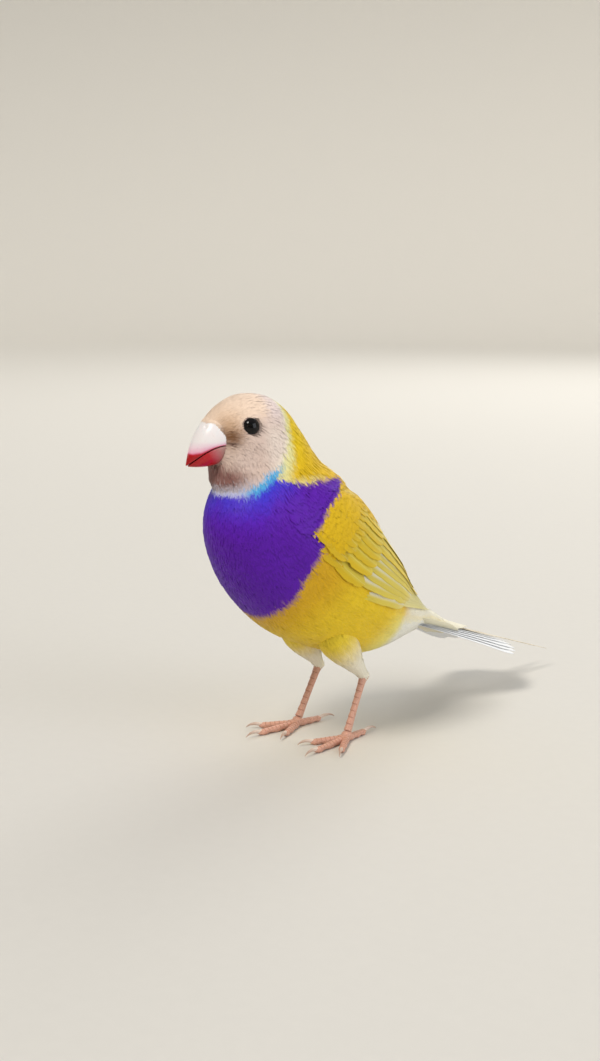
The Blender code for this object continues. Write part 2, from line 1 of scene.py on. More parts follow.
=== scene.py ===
"""A male gouldian finch of the yellow-backed form, dressed in skin, feathers, horn and scales.

The frame gives where the bird stands. Shapes are worked out in millimetres on the same cross-sections
as the solids and are turned into metres as each piece is settled. The bird faces -Y and its left is +X.
A place on the body is a station t, from 0 at the root of the tail to 14 at the bill, and an angle a
round the body, from 0 on the back over 90 degrees on the left side to 180 on the belly. Functions of
places take arrays t and a, in stations and radians, and give one row for each place.
"""

import logging
import math
from abc import ABC, abstractmethod
from collections.abc import Callable, Iterator, Sequence
from contextlib import contextmanager
from dataclasses import dataclass, field
from enum import Enum
from functools import cache, partial

import bpy
import numpy as np
from mathutils import Matrix, Vector, kdtree


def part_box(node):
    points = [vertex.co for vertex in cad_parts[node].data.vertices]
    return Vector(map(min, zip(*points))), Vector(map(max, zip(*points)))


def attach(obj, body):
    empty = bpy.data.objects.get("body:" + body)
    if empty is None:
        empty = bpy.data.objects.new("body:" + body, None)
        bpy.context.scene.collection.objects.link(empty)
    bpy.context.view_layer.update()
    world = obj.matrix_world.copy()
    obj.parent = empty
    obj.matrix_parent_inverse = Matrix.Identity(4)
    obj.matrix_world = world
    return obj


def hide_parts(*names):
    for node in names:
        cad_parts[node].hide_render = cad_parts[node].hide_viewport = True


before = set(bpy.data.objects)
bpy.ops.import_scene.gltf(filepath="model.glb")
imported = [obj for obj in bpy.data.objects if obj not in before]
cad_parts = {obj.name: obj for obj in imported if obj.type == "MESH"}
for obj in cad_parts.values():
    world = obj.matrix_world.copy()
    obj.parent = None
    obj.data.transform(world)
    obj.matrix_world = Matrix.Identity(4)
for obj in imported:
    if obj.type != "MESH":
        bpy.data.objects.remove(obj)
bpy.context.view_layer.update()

log = logging.getLogger("finch")

MM = 0.001
TURN = 2 * math.pi
BODY = "root"
Array = np.ndarray
Piece = bpy.types.Object
Field = Callable[[Array, Array], Array]
Pairs = tuple[tuple[float, float], ...]


class Slot(Enum):
    """The record's finishes."""

    CREAM = "cream_plumage"
    VIOLET = "violet_plumage"
    YELLOW = "yellow_plumage"
    WHITE = "white_plumage"
    PALE_YELLOW = "pale_yellow_plumage"
    WING = "wing_vanes"
    TAIL = "tail_vanes"
    UPPER_BILL = "pink_white_horn"
    LOWER_BILL = "red_horn"
    EYE = "dark_eye"
    LEG = "pink_scales"


class Side(Enum):
    """The bird's left and right, as the sign of X."""

    LEFT = 1
    RIGHT = -1

    @property
    def word(self) -> str:
        """The side's name as the nodes spell it."""
        return self.name.lower()


def eased(value: Array, low: float, high: float) -> Array:
    """Eases from 0 at low to 1 at high.

    Args:
        value: The values to ease.
        low: Where the rise starts.
        high: Where it ends.

    Returns:
        The eased shares.
    """
    share = np.clip((value - low) / (high - low), 0.0, 1.0)
    return share * share * (3 - 2 * share)


def linear(code: str) -> Array:
    """Turns an sRGB hex colour into linear light.

    Args:
        code: Six hex digits.

    Returns:
        Three linear values.
    """
    values = np.array([int(code[k : k + 2], 16) for k in (0, 2, 4)]) / 255
    return np.where(values <= 0.04045, values / 12.92, ((values + 0.055) / 1.055) ** 2.4)


def rgba(code: str) -> tuple[float, float, float, float]:
    """The linear colour of a hex code with full alpha, as a socket takes it."""
    return (*(float(value) for value in linear(code)), 1.0)


def select_only(*pieces: Piece) -> None:
    """Selects pieces and nothing else, in object mode.

    Args:
        pieces: What is selected, the first of them as the active piece.
    """
    if bpy.context.object and bpy.context.object.mode != "OBJECT":
        bpy.ops.object.mode_set(mode="OBJECT")
    bpy.ops.object.select_all(action="DESELECT")
    for piece in pieces:
        piece.select_set(True)
    if pieces:
        bpy.context.view_layer.objects.active = pieces[0]


@contextmanager
def editing(whole: bool = True) -> Iterator[None]:
    """Edit mode on the active piece, with all of it selected unless whole is false."""
    bpy.ops.object.mode_set(mode="EDIT")
    if whole:
        bpy.ops.mesh.select_all(action="SELECT")
    yield
    bpy.ops.object.mode_set(mode="OBJECT")


def flat(values: Array) -> Array:
    """Values in one row, as a mesh takes them."""
    return np.ascontiguousarray(values, np.float32).ravel()


def points_of(obj: Piece) -> Array:
    """The piece's vertices as an array of rows."""
    coordinates = np.empty(len(obj.data.vertices) * 3, np.float64)
    obj.data.vertices.foreach_get("co", coordinates)
    return coordinates.reshape(-1, 3)


def set_points(obj: Piece, points: Array) -> None:
    """Moves the piece's vertices to the rows of an array."""
    obj.data.vertices.foreach_set("co", flat(points))
    obj.data.update()


def store(obj: Piece, **values: Array) -> None:
    """Stores values for each vertex under names that materials read.

    Args:
        obj: The piece.
        values: By name, a number, a place on a UV map or a linear colour for each vertex.
    """
    mesh = obj.data
    for name, rows in values.items():
        if rows.ndim == 1:
            mesh.attributes.new(name, "FLOAT", "POINT").data.foreach_set("value", flat(rows))
        elif rows.shape[1] == 2:
            corners = np.empty(len(mesh.loops), np.int32)
            mesh.loops.foreach_get("vertex_index", corners)
            mesh.uv_layers.new(name=name).data.foreach_set("uv", flat(rows[corners]))
        else:
            full = np.concatenate([rows, np.ones((len(rows), 1))], axis=1)
            mesh.attributes.new(name, "FLOAT_COLOR", "POINT").data.foreach_set("color", flat(full))


def mesh_object(name: str, points: Array, faces: Array) -> Piece:
    """Makes a smooth mesh object from arrays.

    Args:
        name: The piece's name.
        points: Its vertices in millimetres.
        faces: Its faces as rows of vertex numbers, all with the same number of corners.

    Returns:
        The new object.
    """
    mesh = bpy.data.meshes.new(name)
    count, corners = faces.shape
    mesh.vertices.add(len(points))
    mesh.vertices.foreach_set("co", flat(points))
    mesh.loops.add(count * corners)
    mesh.loops.foreach_set("vertex_index", np.ascontiguousarray(faces, np.int32).ravel())
    mesh.polygons.add(count)
    mesh.polygons.foreach_set("loop_start", np.arange(count, dtype=np.int32) * corners)
    mesh.update(calc_edges=True)
    mesh.shade_smooth()
    obj = bpy.data.objects.new(name, mesh)
    bpy.context.scene.collection.objects.link(obj)
    return obj


def unit(rows: Array) -> Array:
    """Rows scaled to a length of 1."""
    return rows / np.maximum(np.linalg.norm(rows, axis=-1, keepdims=True), 1e-9)


def soften_shading(obj: Piece, outward: Array, share: float) -> None:
    """Turns the normals of thin feathers towards the form that they lie on, so that they shade as one coat.

    Args:
        obj: The joined feathers.
        outward: The form's direction at each vertex.
        share: How much of it the normals take on.
    """
    own = np.empty(len(obj.data.vertices) * 3, np.float32)
    obj.data.vertex_normals.foreach_get("vector", own)
    mixed = unit(own.reshape(-1, 3) * (1 - share) + outward * share)
    obj.data.attributes.new("custom_normal", "FLOAT_VECTOR", "POINT").data.foreach_set("vector", flat(mixed))


def rolled(name: str, shape: Field, around: int, lengthwise: int, **values: Field) -> Piece:
    """Rolls a grid primitive into a closed form.

    Args:
        name: The piece's name.
        shape: Gives points in millimetres for shares round the form and along it.
        around: Number of faces round the form.
        lengthwise: Number of faces along it.
        values: Named numbers or colours to store on the vertices, from the same shares.

    Returns:
        The form, its seam merged, its ends filled and its faces pointing outwards.
    """
    select_only()
    bpy.ops.mesh.primitive_grid_add(x_subdivisions=around, y_subdivisions=lengthwise, size=2.0)
    obj = bpy.context.object
    obj.name = obj.data.name = name
    places = points_of(obj)
    u, v = (places[:, 0] + 1) / 2, (places[:, 1] + 1) / 2
    set_points(obj, shape(u, v))
    store(obj, **{title: value(u, v) for title, value in values.items()})
    with editing():
        bpy.ops.mesh.remove_doubles(threshold=1e-3)
        bpy.ops.mesh.fill_holes(sides=0)
        bpy.ops.mesh.normals_make_consistent(inside=False)
    bpy.ops.object.shade_smooth()
    return obj


def joined(name: str, pieces: Sequence[Piece]) -> Piece:
    """Joins pieces into the first one and names it.

    Args:
        name: The joined piece's name.
        pieces: The pieces to join.

    Returns:
        The joined piece.
    """
    select_only(*pieces)
    if len(pieces) > 1:
        bpy.ops.object.join()
    obj = bpy.context.object
    obj.name = obj.data.name = name
    return obj


def apply_modifier(obj: Piece, kind: str, **settings: object) -> None:
    """Adds a modifier with its settings and applies it.

    Args:
        obj: The piece to change.
        kind: The modifier's type.
        settings: Its properties by name.
    """
    select_only(obj)
    modifier = obj.modifiers.new(kind.lower(), kind)
    for key, value in settings.items():
        setattr(modifier, key, value)
    bpy.ops.object.modifier_apply(modifier=modifier.name)


class Surface(ABC):
    """A feathered surface with a station t along it and an angle a round it. Feathers lie towards lower t."""

    span: tuple[float, float]

    @abstractmethod
    def point(self, t: Array, a: Array, lift: Array | float) -> Array:
        """Points in millimetres at places, a lift above the surface."""

    def unwrap(self, t: Array, a: Array) -> Array:
        """Places on the surface's unwrap, the angle one way and the station the other."""
        low, high = self.span
        return np.stack([0.02 + 0.96 * ((a / TURN) % 1.0), 0.02 + 0.96 * (t - low) / (high - low)], axis=-1)

    def steps(self, t: Array, a: Array) -> tuple[Array, Array]:
        """How far one step covers the surface at each place.

        Args:
            t: Stations.
            a: Angles.

        Returns:
            Millimetres for one station and for one radian.
        """
        small = 0.02
        forward = self.point(t + small, a, 0.0) - self.point(t - small, a, 0.0)
        sideways = self.point(t, a + small, 0.0) - self.point(t, a - small, 0.0)
        along, around = (np.linalg.norm(way, axis=-1) / (2 * small) for way in (forward, sideways))
        return np.maximum(along, 0.05), np.maximum(around, 0.05)

    def swell(self, t: Array, a: Array) -> Array | float:
        """How far the coat's form stands off the surface."""
        return 0.0

    def outward(self, t: Array, a: Array) -> Array:
        """The outward direction of the coat's form at places."""
        step = 0.03
        ahead, behind = (self.point(t + k, a, self.swell(t + k, a)) for k in (step, -step))
        left, right = (self.point(t, a + k, self.swell(t, a + k)) for k in (step, -step))
        out = unit(np.cross(ahead - behind, left - right))
        lifted = self.point(t, a, 0.3) - self.point(t, a, 0.0)
        return out * np.sign((out * lifted).sum(axis=-1, keepdims=True))


@dataclass(frozen=True)
class Trunk(Surface):
    """The bird from the root of its tail to its bill, drawn through cross-sections.

    Each row of a section is back ahead, back up, belly ahead, belly up and half width.
    """

    sections: tuple[tuple[float, ...], ...] = (
        (-45.6, 21.6, -44.4, 19.3, 4.4), (-38.4, 25.9, -37.4, 21.6, 3.2), (-31.2, 30.8, -27.0, 20.6, 5.5),
        (-24.6, 36.8, -16.8, 19.2, 8.6), (-18.2, 44.0, -7.2, 19.6, 12.0), (-11.2, 51.6, 4.4, 22.8, 14.4),
        (-4.9, 58.9, 18.6, 29.4, 15.4), (0.7, 64.8, 29.8, 40.0, 15.2), (5.4, 69.4, 35.6, 51.6, 13.4),
        (9.2, 73.8, 35.4, 60.0, 11.1), (12.3, 78.5, 32.6, 64.9, 9.5), (15.4, 82.7, 32.0, 68.0, 8.9),
        (20.4, 86.1, 32.4, 69.5, 8.4), (26.8, 86.6, 32.8, 70.4, 7.3), (32.1, 84.4, 33.2, 70.8, 4.5),
        (35.4, 81.5, 33.9, 71.4, 3.4),
    )
    roundness: float = 2.12
    head_turn: float = 17.0
    neck_pivot_ahead: float = 17.5
    turn_from: float = 7.0
    turn_to: float = 10.0
    eye_ahead: float = 27.3
    eye_up: float = 79.8
    span: tuple[float, float] = (-1.0, 14.0)

    def section(self, t: Array) -> Array:
        """The cross-section at fractional stations, on a Catmull-Rom curve through the rows."""
        rows = np.array(self.sections)
        last = len(rows) - 1
        place = np.clip(t + 1, 0.0, last)
        start = np.minimum(place.astype(int), last - 1)
        u = (place - start)[..., None]
        a, b, c, d = (rows[np.clip(start + k, 0, last)] for k in (-1, 0, 1, 2))
        bend = (2 * a - 5 * b + 4 * c - d) * u**2 + (3 * b - a - 3 * c + d) * u**3
        return 0.5 * (2 * b + (c - a) * u + bend)

    def turned(self, points: Array, share: Array | float) -> Array:
        """Points carried round the neck by shares of the head's turn."""
        angle = -math.radians(self.head_turn) * share
        x, y = points[..., 0], points[..., 1] + self.neck_pivot_ahead
        cos, sin = np.cos(angle), np.sin(angle)
        moved = (x * cos - y * sin, x * sin + y * cos - self.neck_pivot_ahead, points[..., 2])
        return np.stack(moved, axis=-1)

    def point(self, t: Array, a: Array, lift: Array | float) -> Array:
        """Points in millimetres at places, a lift above the surface."""
        t, a, lift = np.broadcast_arrays(t, a, lift)
        back_ahead, back_up, belly_ahead, belly_up, half_width = np.moveaxis(self.section(t), -1, 0)
        ahead, up = (back_ahead - belly_ahead) / 2, (back_up - belly_up) / 2
        depth = np.hypot(ahead, up)
        power = 2 / self.roundness
        rise = np.copysign(np.abs(np.cos(a)) ** power, np.cos(a))
        spread = np.copysign(np.abs(np.sin(a)) ** power, np.sin(a))
        out_side = spread / half_width
        out_rise = rise / depth
        scale = lift / np.hypot(out_side, out_rise)
        tall = rise + out_rise * scale / depth
        side = half_width * spread + out_side * scale
        middle_ahead, middle_up = (back_ahead + belly_ahead) / 2, (back_up + belly_up) / 2
        points = np.stack([side, -(middle_ahead + ahead * tall), middle_up + up * tall], axis=-1)
        return self.turned(points, eased(t, self.turn_from, self.turn_to))

    def normal(self, t: Array, a: Array) -> Array:
        """The outward direction at places."""
        step = 0.02
        run = self.point(t + step, a, 0.0) - self.point(t - step, a, 0.0)
        round_ = self.point(t, a + step, 0.0) - self.point(t, a - step, 0.0)
        return unit(np.cross(run, round_))

    def swell(self, t: Array, a: Array) -> Array | float:
        """How far the coat's form stands off the trunk."""
        return coat_form(t, a)

    def head_place(self, t: Array, a: Array) -> tuple[Array, Array, Array]:
        """How far places lie to the side, ahead of and above the eye, with the head's turn undone."""
        share = eased(t, self.turn_from, self.turn_to)
        straight = self.turned(self.point(t, a, 0.0), -share)
        return np.abs(straight[..., 0]), -straight[..., 1] - self.eye_ahead, straight[..., 2] - self.eye_up

    def eye_axis(self, side: Side, sunk: float) -> tuple[Array, Array]:
        """The centre of an eyeball and the way that it looks.

        Args:
            side: Which eye.
            sunk: How far its centre lies under the cheek.

        Returns:
            A point in millimetres and a direction.
        """
        stations = 9.5 + np.arange(60) * 0.07
        t, a = np.meshgrid(stations, np.radians(50 + 2.0 * np.arange(40)), indexing="ij")
        straight = self.turned(self.point(t, a, 0.0), -1.0)
        miss = np.hypot(-straight[..., 1] - self.eye_ahead, straight[..., 2] - self.eye_up)
        best = np.unravel_index(np.argmin(miss), miss.shape)
        spot_t, spot_a = t[best], a[best] * side.value
        out = self.normal(spot_t, spot_a)
        return self.point(spot_t, spot_a, 0.0) - out * sunk, out


TRUNK = Trunk()
EYE_RADIUS, EYE_SUNK, EYE_CLEAR = 1.85, 1.0, 2.4


def frame_shift() -> Array:
    """Where the frame holds the bird: from the sections' own place to the left eye's node, in millimetres."""
    low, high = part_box("eye_left")
    centre, _ = TRUNK.eye_axis(Side.LEFT, EYE_SUNK)
    return np.array((low + high) / 2) / MM - centre


SHIFT = frame_shift()


def settle(obj: Piece, finish: "Finish", slot: Slot, *nodes: str) -> None:
    """Turns a finished piece from millimetres to its place in the frame, dresses it and hangs it on the body.

    Args:
        obj: The piece, with its object at the origin.
        finish: What it is made of.
        slot: The record's slot of that finish. It is not used.
        nodes: The frame's nodes that it stands for.
    """
    set_points(obj, (points_of(obj) + SHIFT) * MM)
    obj.data.materials.clear()
    obj.data.materials.append(finish.material())
    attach(obj, BODY)
    if nodes:
        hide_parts(*nodes)
    log.info("%s: %d faces", obj.name, len(obj.data.polygons))


def feed(tree: bpy.types.NodeTree, node: bpy.types.Node, values: dict[int | str, object]) -> None:
    """Fills a node's inputs.

    Args:
        tree: The material's nodes.
        node: The node to fill.
        values: For each input a value, a socket to join to it, or a node whose first output joins it.
    """
    for key, value in values.items():
        source = value.outputs[0] if isinstance(value, bpy.types.Node) else value
        if isinstance(source, bpy.types.NodeSocket):
            tree.links.new(source, node.inputs[key])
        else:
            node.inputs[key].default_value = source


def add_node(
    tree: bpy.types.NodeTree, kind: str, values: dict[int | str, object] | None = None,
    stops: Sequence = (), **settings: object,
) -> bpy.types.Node:
    """Adds a node with its settings and links.

    Args:
        tree: The material's nodes.
        kind: The node's type without its prefix.
        values: What fills its inputs, as feed takes it.
        stops: A colour ramp's places from 0 to 1 with their hex colours.
        settings: The node's own properties.

    Returns:
        The new node.
    """
    node = tree.nodes.new("ShaderNode" + kind)
    for key, value in settings.items():
        setattr(node, key, value)
    for index, (place, code) in enumerate(stops):
        elements = node.color_ramp.elements
        stop = elements[index] if index < 2 else elements.new(place)
        stop.position = place
        stop.color = rgba(code)
    feed(tree, node, values or {})
    return node


class Finish(ABC):
    """What a piece is made of, as one material that all pieces of it share."""

    name: str

    @abstractmethod
    def inputs(self, tree: bpy.types.NodeTree) -> dict[int | str, object]:
        """Adds the pattern's nodes and gives what fills the shader's inputs."""

    @cache
    def material(self) -> bpy.types.Material:
        """The material, made when it is first asked for."""
        material = bpy.data.materials.new(self.name)
        material.use_nodes = True
        tree = material.node_tree
        feed(tree, tree.nodes["Principled BSDF"], self.inputs(tree))
        return material


@dataclass(frozen=True)
class FeatherFinish(Finish):
    """Keratin barbs. They scatter light softly, with a faint silky sheen across them.

    Real barbs stand 0.05 to 0.1 mm apart, too fine to show, so they are drawn coarser.
    """

    name: str
    barb_spacing: float = 0.36
    barb_slope: float = 1.1
    # How much darker the gaps between barbs are drawn, as painted shade in the grooves.
    barb_depth: float = 0.12
    root_shade: float = 0.8
    unevenness: float = 0.05
    shaft_half: float = 0.0
    shaft_code: str = "f3ead2"
    shaft_weight: float = 0.25
    glow: float = 0.0
    roughness: float = 0.68
    sheen: float = 0.12
    sheen_code: str = "ffffff"

    def inputs(self, tree: bpy.types.NodeTree) -> dict[int | str, object]:
        """Draws barbs, shaft and shade. The marking and the way along each feather are on the mesh."""
        marking = add_node(tree, "Attribute", attribute_name="Marking")
        shade = add_node(tree, "Attribute", attribute_name="Shade").outputs["Fac"]
        along = add_node(tree, "Attribute", attribute_name="Along").outputs["Fac"]
        spot = add_node(tree, "UVMap", uv_map="Barbs")
        x, y = add_node(tree, "SeparateXYZ", {0: spot}).outputs[:2]
        across = add_node(tree, "Math", {0: x}, operation="ABSOLUTE")
        slant = add_node(tree, "Math", {0: across, 1: self.barb_slope}, operation="MULTIPLY")
        path = add_node(tree, "Math", {0: y, 1: slant}, operation="SUBTRACT")
        wobble = add_node(tree, "TexNoise", {"Vector": spot, "Scale": 1.4, "Detail": 2.0})
        drift = add_node(tree, "Math", {0: wobble, 1: 0.5, 2: path}, operation="MULTIPLY_ADD")
        wave = add_node(tree, "Math", {0: drift, 1: TURN / self.barb_spacing}, operation="MULTIPLY")
        barb = add_node(tree, "Math", {0: wave}, operation="SINE")
        # The barbs' stripes darken the gaps between barbs as painted shade, and root_shade darkens each
        # feather towards its root as painted shade under the feathers over it.
        depth = self.barb_depth / 2
        barb_shade = add_node(tree, "Math", {0: barb, 1: depth, 2: 1 - depth}, operation="MULTIPLY_ADD")
        tone = add_node(tree, "MapRange", {0: shade, 3: 1 - self.unevenness, 4: 1 + self.unevenness})
        fall = {0: along, 1: 0.0, 2: 0.7, 3: self.root_shade, 4: 1.0}
        deep = add_node(tree, "MapRange", fall, interpolation_type="SMOOTHSTEP")
        for factor in (deep, barb_shade):
            tone = add_node(tree, "Math", {0: tone, 1: factor}, operation="MULTIPLY")
        colour = add_node(tree, "VectorMath", {0: marking, 3: tone}, operation="SCALE").outputs[0]
        if self.shaft_half:
            edge = {0: across, 1: self.shaft_half, 2: self.shaft_half * 0.4, 3: 0.0, 4: self.shaft_weight}
            mixed = {"Factor": add_node(tree, "MapRange", edge), 6: colour, 7: rgba(self.shaft_code)}
            colour = add_node(tree, "Mix", mixed, data_type="RGBA").outputs[2]
        return {
            "Base Color": colour,
            "Normal": add_node(tree, "Bump", {"Height": barb, "Strength": 0.3, "Distance": 0.012 * MM}),
            "Roughness": self.roughness, "Specular IOR Level": 0.22, "Subsurface Weight": self.glow,
            "Subsurface Radius": (1.0, 0.9, 0.75), "Subsurface Scale": 0.6 * MM, "Sheen Weight": self.sheen,
            "Sheen Roughness": 0.45, "Sheen Tint": rgba(self.sheen_code),
        }


@dataclass(frozen=True)
class SkinFinish(Finish):
    """The bed under the feathers, covered in short matt down of the feathers' own colours."""

    name: str = "downy_skin"
    down_size: float = 0.5

    def inputs(self, tree: bpy.types.NodeTree) -> dict[int | str, object]:
        """Draws the down over the marking that is on the mesh."""
        marking = add_node(tree, "Attribute", attribute_name="Marking")
        place = add_node(tree, "TexCoord").outputs["Object"]
        down = add_node(
            tree, "TexNoise", {"Vector": place, "Scale": 1 / (self.down_size * MM), "Detail": 3.0}
        )
        tone = add_node(tree, "MapRange", {0: down, 3: 0.72, 4: 0.95})
        return {
            "Base Color": add_node(tree, "VectorMath", {0: marking, 3: tone}, operation="SCALE"),
            "Normal": add_node(tree, "Bump", {"Height": down, "Strength": 0.6, "Distance": 0.1 * MM}),
            "Roughness": 0.85, "Specular IOR Level": 0.2,
        }


@dataclass(frozen=True)
class HornFinish(Finish):
    """The horn of the bill, smooth and slightly waxy, with growth lines along it.

    The ramp runs over the number Blush that the bill's mesh holds.
    """

    name: str
    stops: tuple[tuple[float, str], ...]
    grain: float = 0.8
    roughness: float = 0.28

    def inputs(self, tree: bpy.types.NodeTree) -> dict[int | str, object]:
        """Draws the blush with cloudy borders, and wear in its polish."""
        blush = add_node(tree, "Attribute", attribute_name="Blush").outputs["Fac"]
        place = add_node(tree, "TexCoord").outputs["Object"]
        cloud = {"Vector": place, "Scale": 1 / (self.grain * MM), "Detail": 4.0, "Roughness": 0.6}
        noise = add_node(tree, "TexNoise", cloud)
        spread = add_node(tree, "MapRange", {0: noise, 3: -0.035, 4: 0.035})
        drive = add_node(tree, "Math", {0: blush, 1: spread}, operation="ADD")
        return {
            "Base Color": add_node(tree, "ValToRGB", {0: drive}, self.stops),
            "Roughness": add_node(
                tree, "MapRange", {0: noise, 3: self.roughness - 0.07, 4: self.roughness + 0.1}
            ),
            "Normal": add_node(tree, "Bump", {"Height": noise, "Strength": 0.25, "Distance": 0.03 * MM}),
            "IOR": 1.48, "Subsurface Weight": 0.12, "Subsurface Radius": (0.8, 0.4, 0.35),
            "Subsurface Scale": 1.0 * MM,
        }


@dataclass(frozen=True)
class EyeFinish(Finish):
    """A wet cornea over a nearly black iris, so it looks like polished black glass with one sharp glint.

    The ramp runs over the number Pupil, from 0 at the middle of the eye to 1 at its rim.
    """

    name: str = "wet_dark_eye"
    stops: tuple[tuple[float, str], ...] = (
        (0.0, "030202"), (0.38, "030202"), (0.45, "0e0705"), (0.8, "060404")
    )

    def inputs(self, tree: bpy.types.NodeTree) -> dict[int | str, object]:
        """Draws pupil, iris and rim."""
        ring = add_node(tree, "Attribute", attribute_name="Pupil").outputs["Fac"]
        colour = add_node(tree, "ValToRGB", {0: ring}, self.stops)
        return {"Base Color": colour, "Roughness": 0.04, "IOR": 1.376, "Specular IOR Level": 0.4}


@dataclass(frozen=True)
class ScaleFinish(Finish):
    """Dry skin of legs, lids or the mouth's lining: small soft plates with darker seams between them."""

    name: str
    base_code: str
    seam_code: str
    plate: float = 0.45
    roughness: float = 0.5
    blotch: float = 2.4

    def inputs(self, tree: bpy.types.NodeTree) -> dict[int | str, object]:
        """Draws the plates' seams, the creases that are on the mesh, and faint blotches."""
        place = add_node(tree, "TexCoord").outputs["Object"]
        cells = {"Vector": place, "Scale": 1 / (self.plate * MM)}
        edge = add_node(tree, "TexVoronoi", cells, feature="DISTANCE_TO_EDGE").outputs["Distance"]
        seam = add_node(tree, "MapRange", {0: edge, 1: 0.0, 2: 0.14, 3: 0.45})
        crease = add_node(tree, "Attribute", attribute_name="Crease").outputs["Fac"]
        plain = add_node(tree, "Math", {0: 1.0, 1: crease}, operation="SUBTRACT")
        seam = add_node(tree, "Math", {0: seam, 1: plain}, operation="MULTIPLY")
        noise = add_node(tree, "TexNoise", {"Vector": place, "Scale": 1 / (self.blotch * MM), "Detail": 3.0})
        tone = add_node(tree, "MapRange", {0: noise, 3: 0.86, 4: 1.1})
        pick = {"Factor": seam, 6: rgba(self.seam_code), 7: rgba(self.base_code)}
        mixed = add_node(tree, "Mix", pick, data_type="RGBA").outputs[2]
        return {
            "Base Color": add_node(tree, "VectorMath", {0: mixed, 3: tone}, operation="SCALE"),
            "Normal": add_node(tree, "Bump", {"Height": seam, "Strength": 0.5, "Distance": 0.06 * MM}),
            "Roughness": self.roughness, "Subsurface Weight": 0.1, "Subsurface Radius": (0.9, 0.35, 0.25),
            "Subsurface Scale": 0.6 * MM,
        }


@dataclass(frozen=True)
class ClawFinish(Finish):
    """Pale horn of the claws, half polished, with fine streaks and a darker tip.

    The ramp runs over the number Blush, from 0 at the root of a claw to 1 at its tip.
    """

    name: str = "claw_horn"
    stops: tuple[tuple[float, str], ...] = ((0.2, "ecdccf"), (1.2, "b99a88"))
    streak: float = 0.5

    def inputs(self, tree: bpy.types.NodeTree) -> dict[int | str, object]:
        """Draws the streaks and the darker tip."""
        along = add_node(tree, "Attribute", attribute_name="Blush").outputs["Fac"]
        place = add_node(tree, "TexCoord").outputs["Object"]
        noise = add_node(tree, "TexNoise", {"Vector": place, "Scale": 1 / (self.streak * MM), "Detail": 2.0})
        drive = add_node(tree, "Math", {0: noise, 1: 0.3, 2: along}, operation="MULTIPLY_ADD")
        return {
            "Base Color": add_node(tree, "ValToRGB", {0: drive}, self.stops),
            "Normal": add_node(tree, "Bump", {"Height": noise, "Strength": 0.2, "Distance": 0.02 * MM}),
            "Roughness": 0.35,
        }


@dataclass(frozen=True)
class FloorFinish(Finish):
    """Matt painted board, nearly white, with a faint roller texture."""

    name: str = "pale_board"
    code: str = "d9d6cf"
    nap: float = 3.0

    def inputs(self, tree: bpy.types.NodeTree) -> dict[int | str, object]:
        """Draws the roller's nap."""
        place = add_node(tree, "TexCoord").outputs["Object"]
        noise = add_node(tree, "TexNoise", {"Vector": place, "Scale": 1 / (self.nap * MM), "Detail": 2.0})
        tone = add_node(tree, "MapRange", {0: noise, 3: 0.985, 4: 1.015})
        paint = {0: rgba(self.code)[:3], 3: tone}
        return {
            "Base Color": add_node(tree, "VectorMath", paint, operation="SCALE"), "Roughness": 0.75,
            "Specular IOR Level": 0.2,
        }


def filled(code: str, t: Array) -> Array:
    """One colour's linear values for each station."""
    return np.broadcast_to(linear(code), (*np.shape(t), 3)).copy()


def lay_over(base: Array, colour: Array | str, share: Array) -> None:
    """Lays colours over others in place.

    Args:
        base: Linear colours in rows.
        colour: A hex code, or linear colours in rows.
        share: How much of it shows in each row.
    """
    top = linear(colour) if isinstance(colour, str) else colour
    base += (top - base) * share[..., None]


